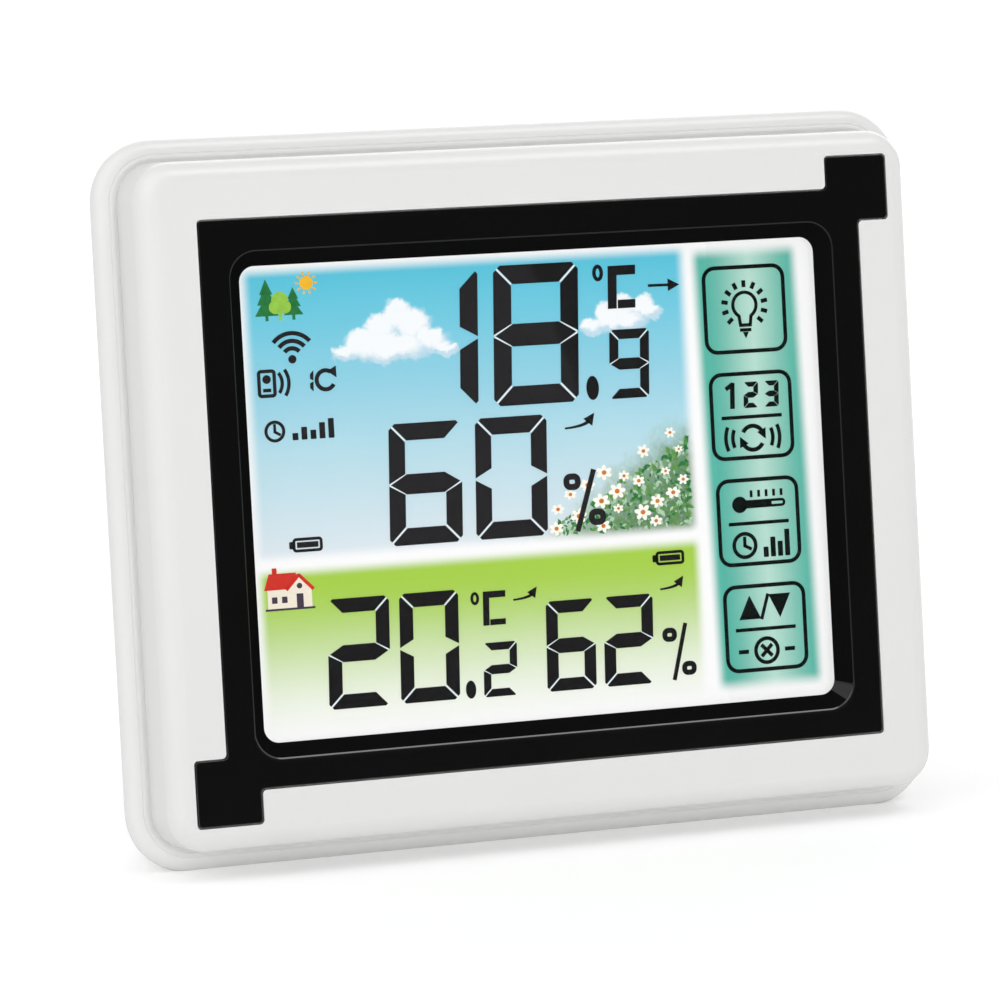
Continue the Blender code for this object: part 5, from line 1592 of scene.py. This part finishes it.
class STATION_OT_screws(bpy.types.Operator):
    """Pan-head screws with a cross recess"""
    bl_idname = "station.screws"
    bl_label = "Screws"

    def execute(self, context):
        steel = brushed_metal("screw_steel", (0.6, 0.6, 0.6), (700.0, 700.0, 700.0), 0.3)
        for name, node, places, seat, sizes in (
                ("housing_screw", "case_screw", case_screw_places(), CASE_SEAT, CASE_SCREW),
                ("circuit_screw", "board_screw", board_screw_places(), BOARD_SEAT, BOARD_SCREW)):
            for index, (x, z) in enumerate(places, 1):
                screw = pan_screw(Vector((x, seat, z)), *sizes)
                settle(f"{name}_{index}", screw, [steel], replaced=[f"{node}_{index}"])
        return {"FINISHED"}


def pan_screw(seat, head_radius, head_height, shank, reach):
    """Screw along the depth with its head behind its seat."""
    angles = [math.pi / 2 * step / ROUND_STEPS for step in range(ROUND_STEPS + 1)]
    dome = [(head_radius * math.sin(turn), head_height * (0.45 + 0.55 * math.cos(turn))) for turn in angles]
    root, thread = SCREW_ROOT * shank, []
    for step in range(int((reach - shank) / SCREW_PITCH) - 1):
        depth = -SCREW_RUNOUT - step * SCREW_PITCH
        thread += [(root, depth), (shank, depth - 0.3 * SCREW_PITCH), (root, depth - 0.6 * SCREW_PITCH)]
    profile = dome + [(head_radius, 0.0)] + thread + [(root, shank - reach), (0.0, -reach)]
    screw = spun(profile)
    slots = []
    for turn in (0.0, math.pi / 2):
        size = Matrix.Diagonal((1.25 * head_radius, 0.26 * head_radius, 1.1 * head_height, 1.0))
        lift = Matrix.Translation((0.0, 0.0, 0.95 * head_height))
        slots.append(bmesh.new())
        bmesh.ops.create_cube(slots[-1], size=1.0, matrix=Matrix.Rotation(turn, 4, "Z") @ lift @ size)
    screw = combined(screw, *[("DIFFERENCE", slot) for slot in slots])
    place = Matrix.Translation(seat + Vector((0.0, PLATE_GAP, 0.0))) @ Matrix.Rotation(-math.pi / 2, 4, "X")
    bmesh.ops.transform(screw, matrix=place, verts=screw.verts)
    return screw


# Stage
class STATION_OT_stage(bpy.types.Operator):
    """Pale floor, soft light and the camera"""
    bl_idname = "station.stage"
    bl_label = "Stage"

    def execute(self, context):
        stage = context.scene.station_stage
        context.scene.view_settings.view_transform = "Standard"
        self.make_floor(stage)
        self.make_lights(context.scene, stage)
        self.make_camera(context.scene, stage)
        return {"FINISHED"}

    def make_floor(self, stage):
        shape = bmesh.new()
        bmesh.ops.create_grid(shape, x_segments=1, y_segments=1, size=FLOOR_SIZE)
        floor = helper_object("floor", shape)
        look = new_look("floor_paper")
        grain = look.noise(look.place(), 30.0)
        floor.data.materials.append(look.finish({
            "Base Color": look.mix(grain, shade(stage.floor, 0.995), stage.floor), "Roughness": 0.9,
            "Specular IOR Level": 0.0,
            "Emission Color": look.mix(seen_ray(look), (0.0, 0.0, 0.0), (1.0, 1.0, 1.0)),
            "Emission Strength": stage.floor_glow}))

    def make_lights(self, scene, stage):
        world = scene.world or bpy.data.worlds.new("studio")
        scene.world = world
        look = Look(world)
        ray = look.node("ShaderNodeLightPath", {}, {}, "Is Camera Ray")
        toward = look.node("ShaderNodeTexCoord", {}, {}, "Generated")
        ahead = look.node("ShaderNodeVectorMath", {"operation": "DOT_PRODUCT"},
                          {0: toward, 1: DARK_SIDE}, "Value")
        behind = stage.dome + (stage.back_dome - stage.dome) * look.fade(ahead, 0.1, -0.7)
        room = look.most(seen_ray(look), behind) * (1 - (1 - stage.dark_side) * look.fade(ahead, 0.6, 0.85))
        white = look.mix(look.most(room, ray), (0.0, 0.0, 0.0), (1.0, 1.0, 1.0))
        sky = look.node("ShaderNodeBackground", {}, {"Color": white, "Strength": 1.0})
        look.node("ShaderNodeOutputWorld", {}, {"Surface": sky})
        add_lamp(scene, "left_softbox", stage.left_light, 70.0, (-0.66, -0.2, 0.72))
        add_lamp(scene, "right_softbox", stage.right_light, 26.0, (0.3, -0.34, 0.88))
        front = add_lamp(scene, "front_card", stage.front_light, 36.0, (0.05, -1.0, 0.04))
        front.visible_glossy = False
        add_lamp(scene, "back_softbox", stage.back_light, 50.0, (0.4, 0.85, 0.35))

    def make_camera(self, scene, stage):
        turn, rise = stage.azimuth, stage.elevation
        back = Vector((-math.sin(turn) * math.cos(rise), -math.cos(turn) * math.cos(rise), math.sin(rise)))
        right = Vector((math.cos(turn), -math.sin(turn), 0.0))
        up = back.cross(right)
        aim = console_place().translation + right * stage.aim_right + up * stage.aim_up
        lens = bpy.data.cameras.new("photo_camera")
        lens.lens = stage.lens
        camera = bpy.data.objects.new("photo_camera", lens)
        camera.location = aim + back * stage.distance
        camera.rotation_euler = back.to_track_quat("Z", "Y").to_euler()
        scene.collection.objects.link(camera)
        scene.camera = camera


def seen_ray(look):
    """1 for rays that the camera sees, straight or in metal and glass."""
    ray = look.node("ShaderNodeLightPath", {}, {}, "Is Camera Ray")
    return look.most(ray, look.most(ray.other("Is Glossy Ray"), ray.other("Is Transmission Ray")))


def add_lamp(scene, name, strength, width, direction):
    """Far soft lamp that shines from a direction, as wide as an angle in degrees."""
    lamp = bpy.data.lights.new(name, "SUN")
    lamp.energy = strength
    lamp.angle = math.radians(width)
    item = bpy.data.objects.new(name, lamp)
    item.rotation_euler = Vector(direction).to_track_quat("Z", "Y").to_euler()
    scene.collection.objects.link(item)
    return item


class STATION_PT_sidebar(bpy.types.Panel):
    """Steps that build the weather station"""
    bl_label = "Weather station"
    bl_idname = "STATION_PT_sidebar"
    bl_space_type = "VIEW_3D"
    bl_region_type = "UI"
    bl_category = "Weather station"

    def draw(self, context):
        for operator in OPERATORS:
            self.layout.operator(operator.bl_idname)
        for group in SETTINGS:
            settings = getattr(context.scene, group)
            box = self.layout.box()
            for name in settings.__annotations__:
                box.prop(settings, name)


SETTINGS = {"station_casing": CasingSettings, "station_display": DisplaySettings,
            "station_stage": StageSettings}
OPERATORS = (STATION_OT_stage, STATION_OT_front_shell, STATION_OT_trim_frame, STATION_OT_back,
             STATION_OT_display, STATION_OT_readings, STATION_OT_keys, STATION_OT_pictures,
             STATION_OT_batteries, STATION_OT_electronics, STATION_OT_screws)


def register():
    for group in SETTINGS.values():
        bpy.utils.register_class(group)
    for item in OPERATORS + (STATION_PT_sidebar,):
        bpy.utils.register_class(item)
    for name, group in SETTINGS.items():
        setattr(bpy.types.Scene, name, PointerProperty(type=group))


def unregister():
    for name in SETTINGS:
        delattr(bpy.types.Scene, name)
    for item in (STATION_PT_sidebar,) + OPERATORS[::-1]:
        bpy.utils.unregister_class(item)
    for group in SETTINGS.values():
        bpy.utils.unregister_class(group)


def main():
    register()
    bpy.ops.station.stage()
    bpy.ops.station.front_shell()
    bpy.ops.station.trim_frame()
    bpy.ops.station.back()
    bpy.ops.station.display()
    bpy.ops.station.readings()
    bpy.ops.station.keys()
    bpy.ops.station.pictures()
    bpy.ops.station.batteries()
    bpy.ops.station.electronics()
    bpy.ops.station.screws()


if __name__ == "__main__":
    main()
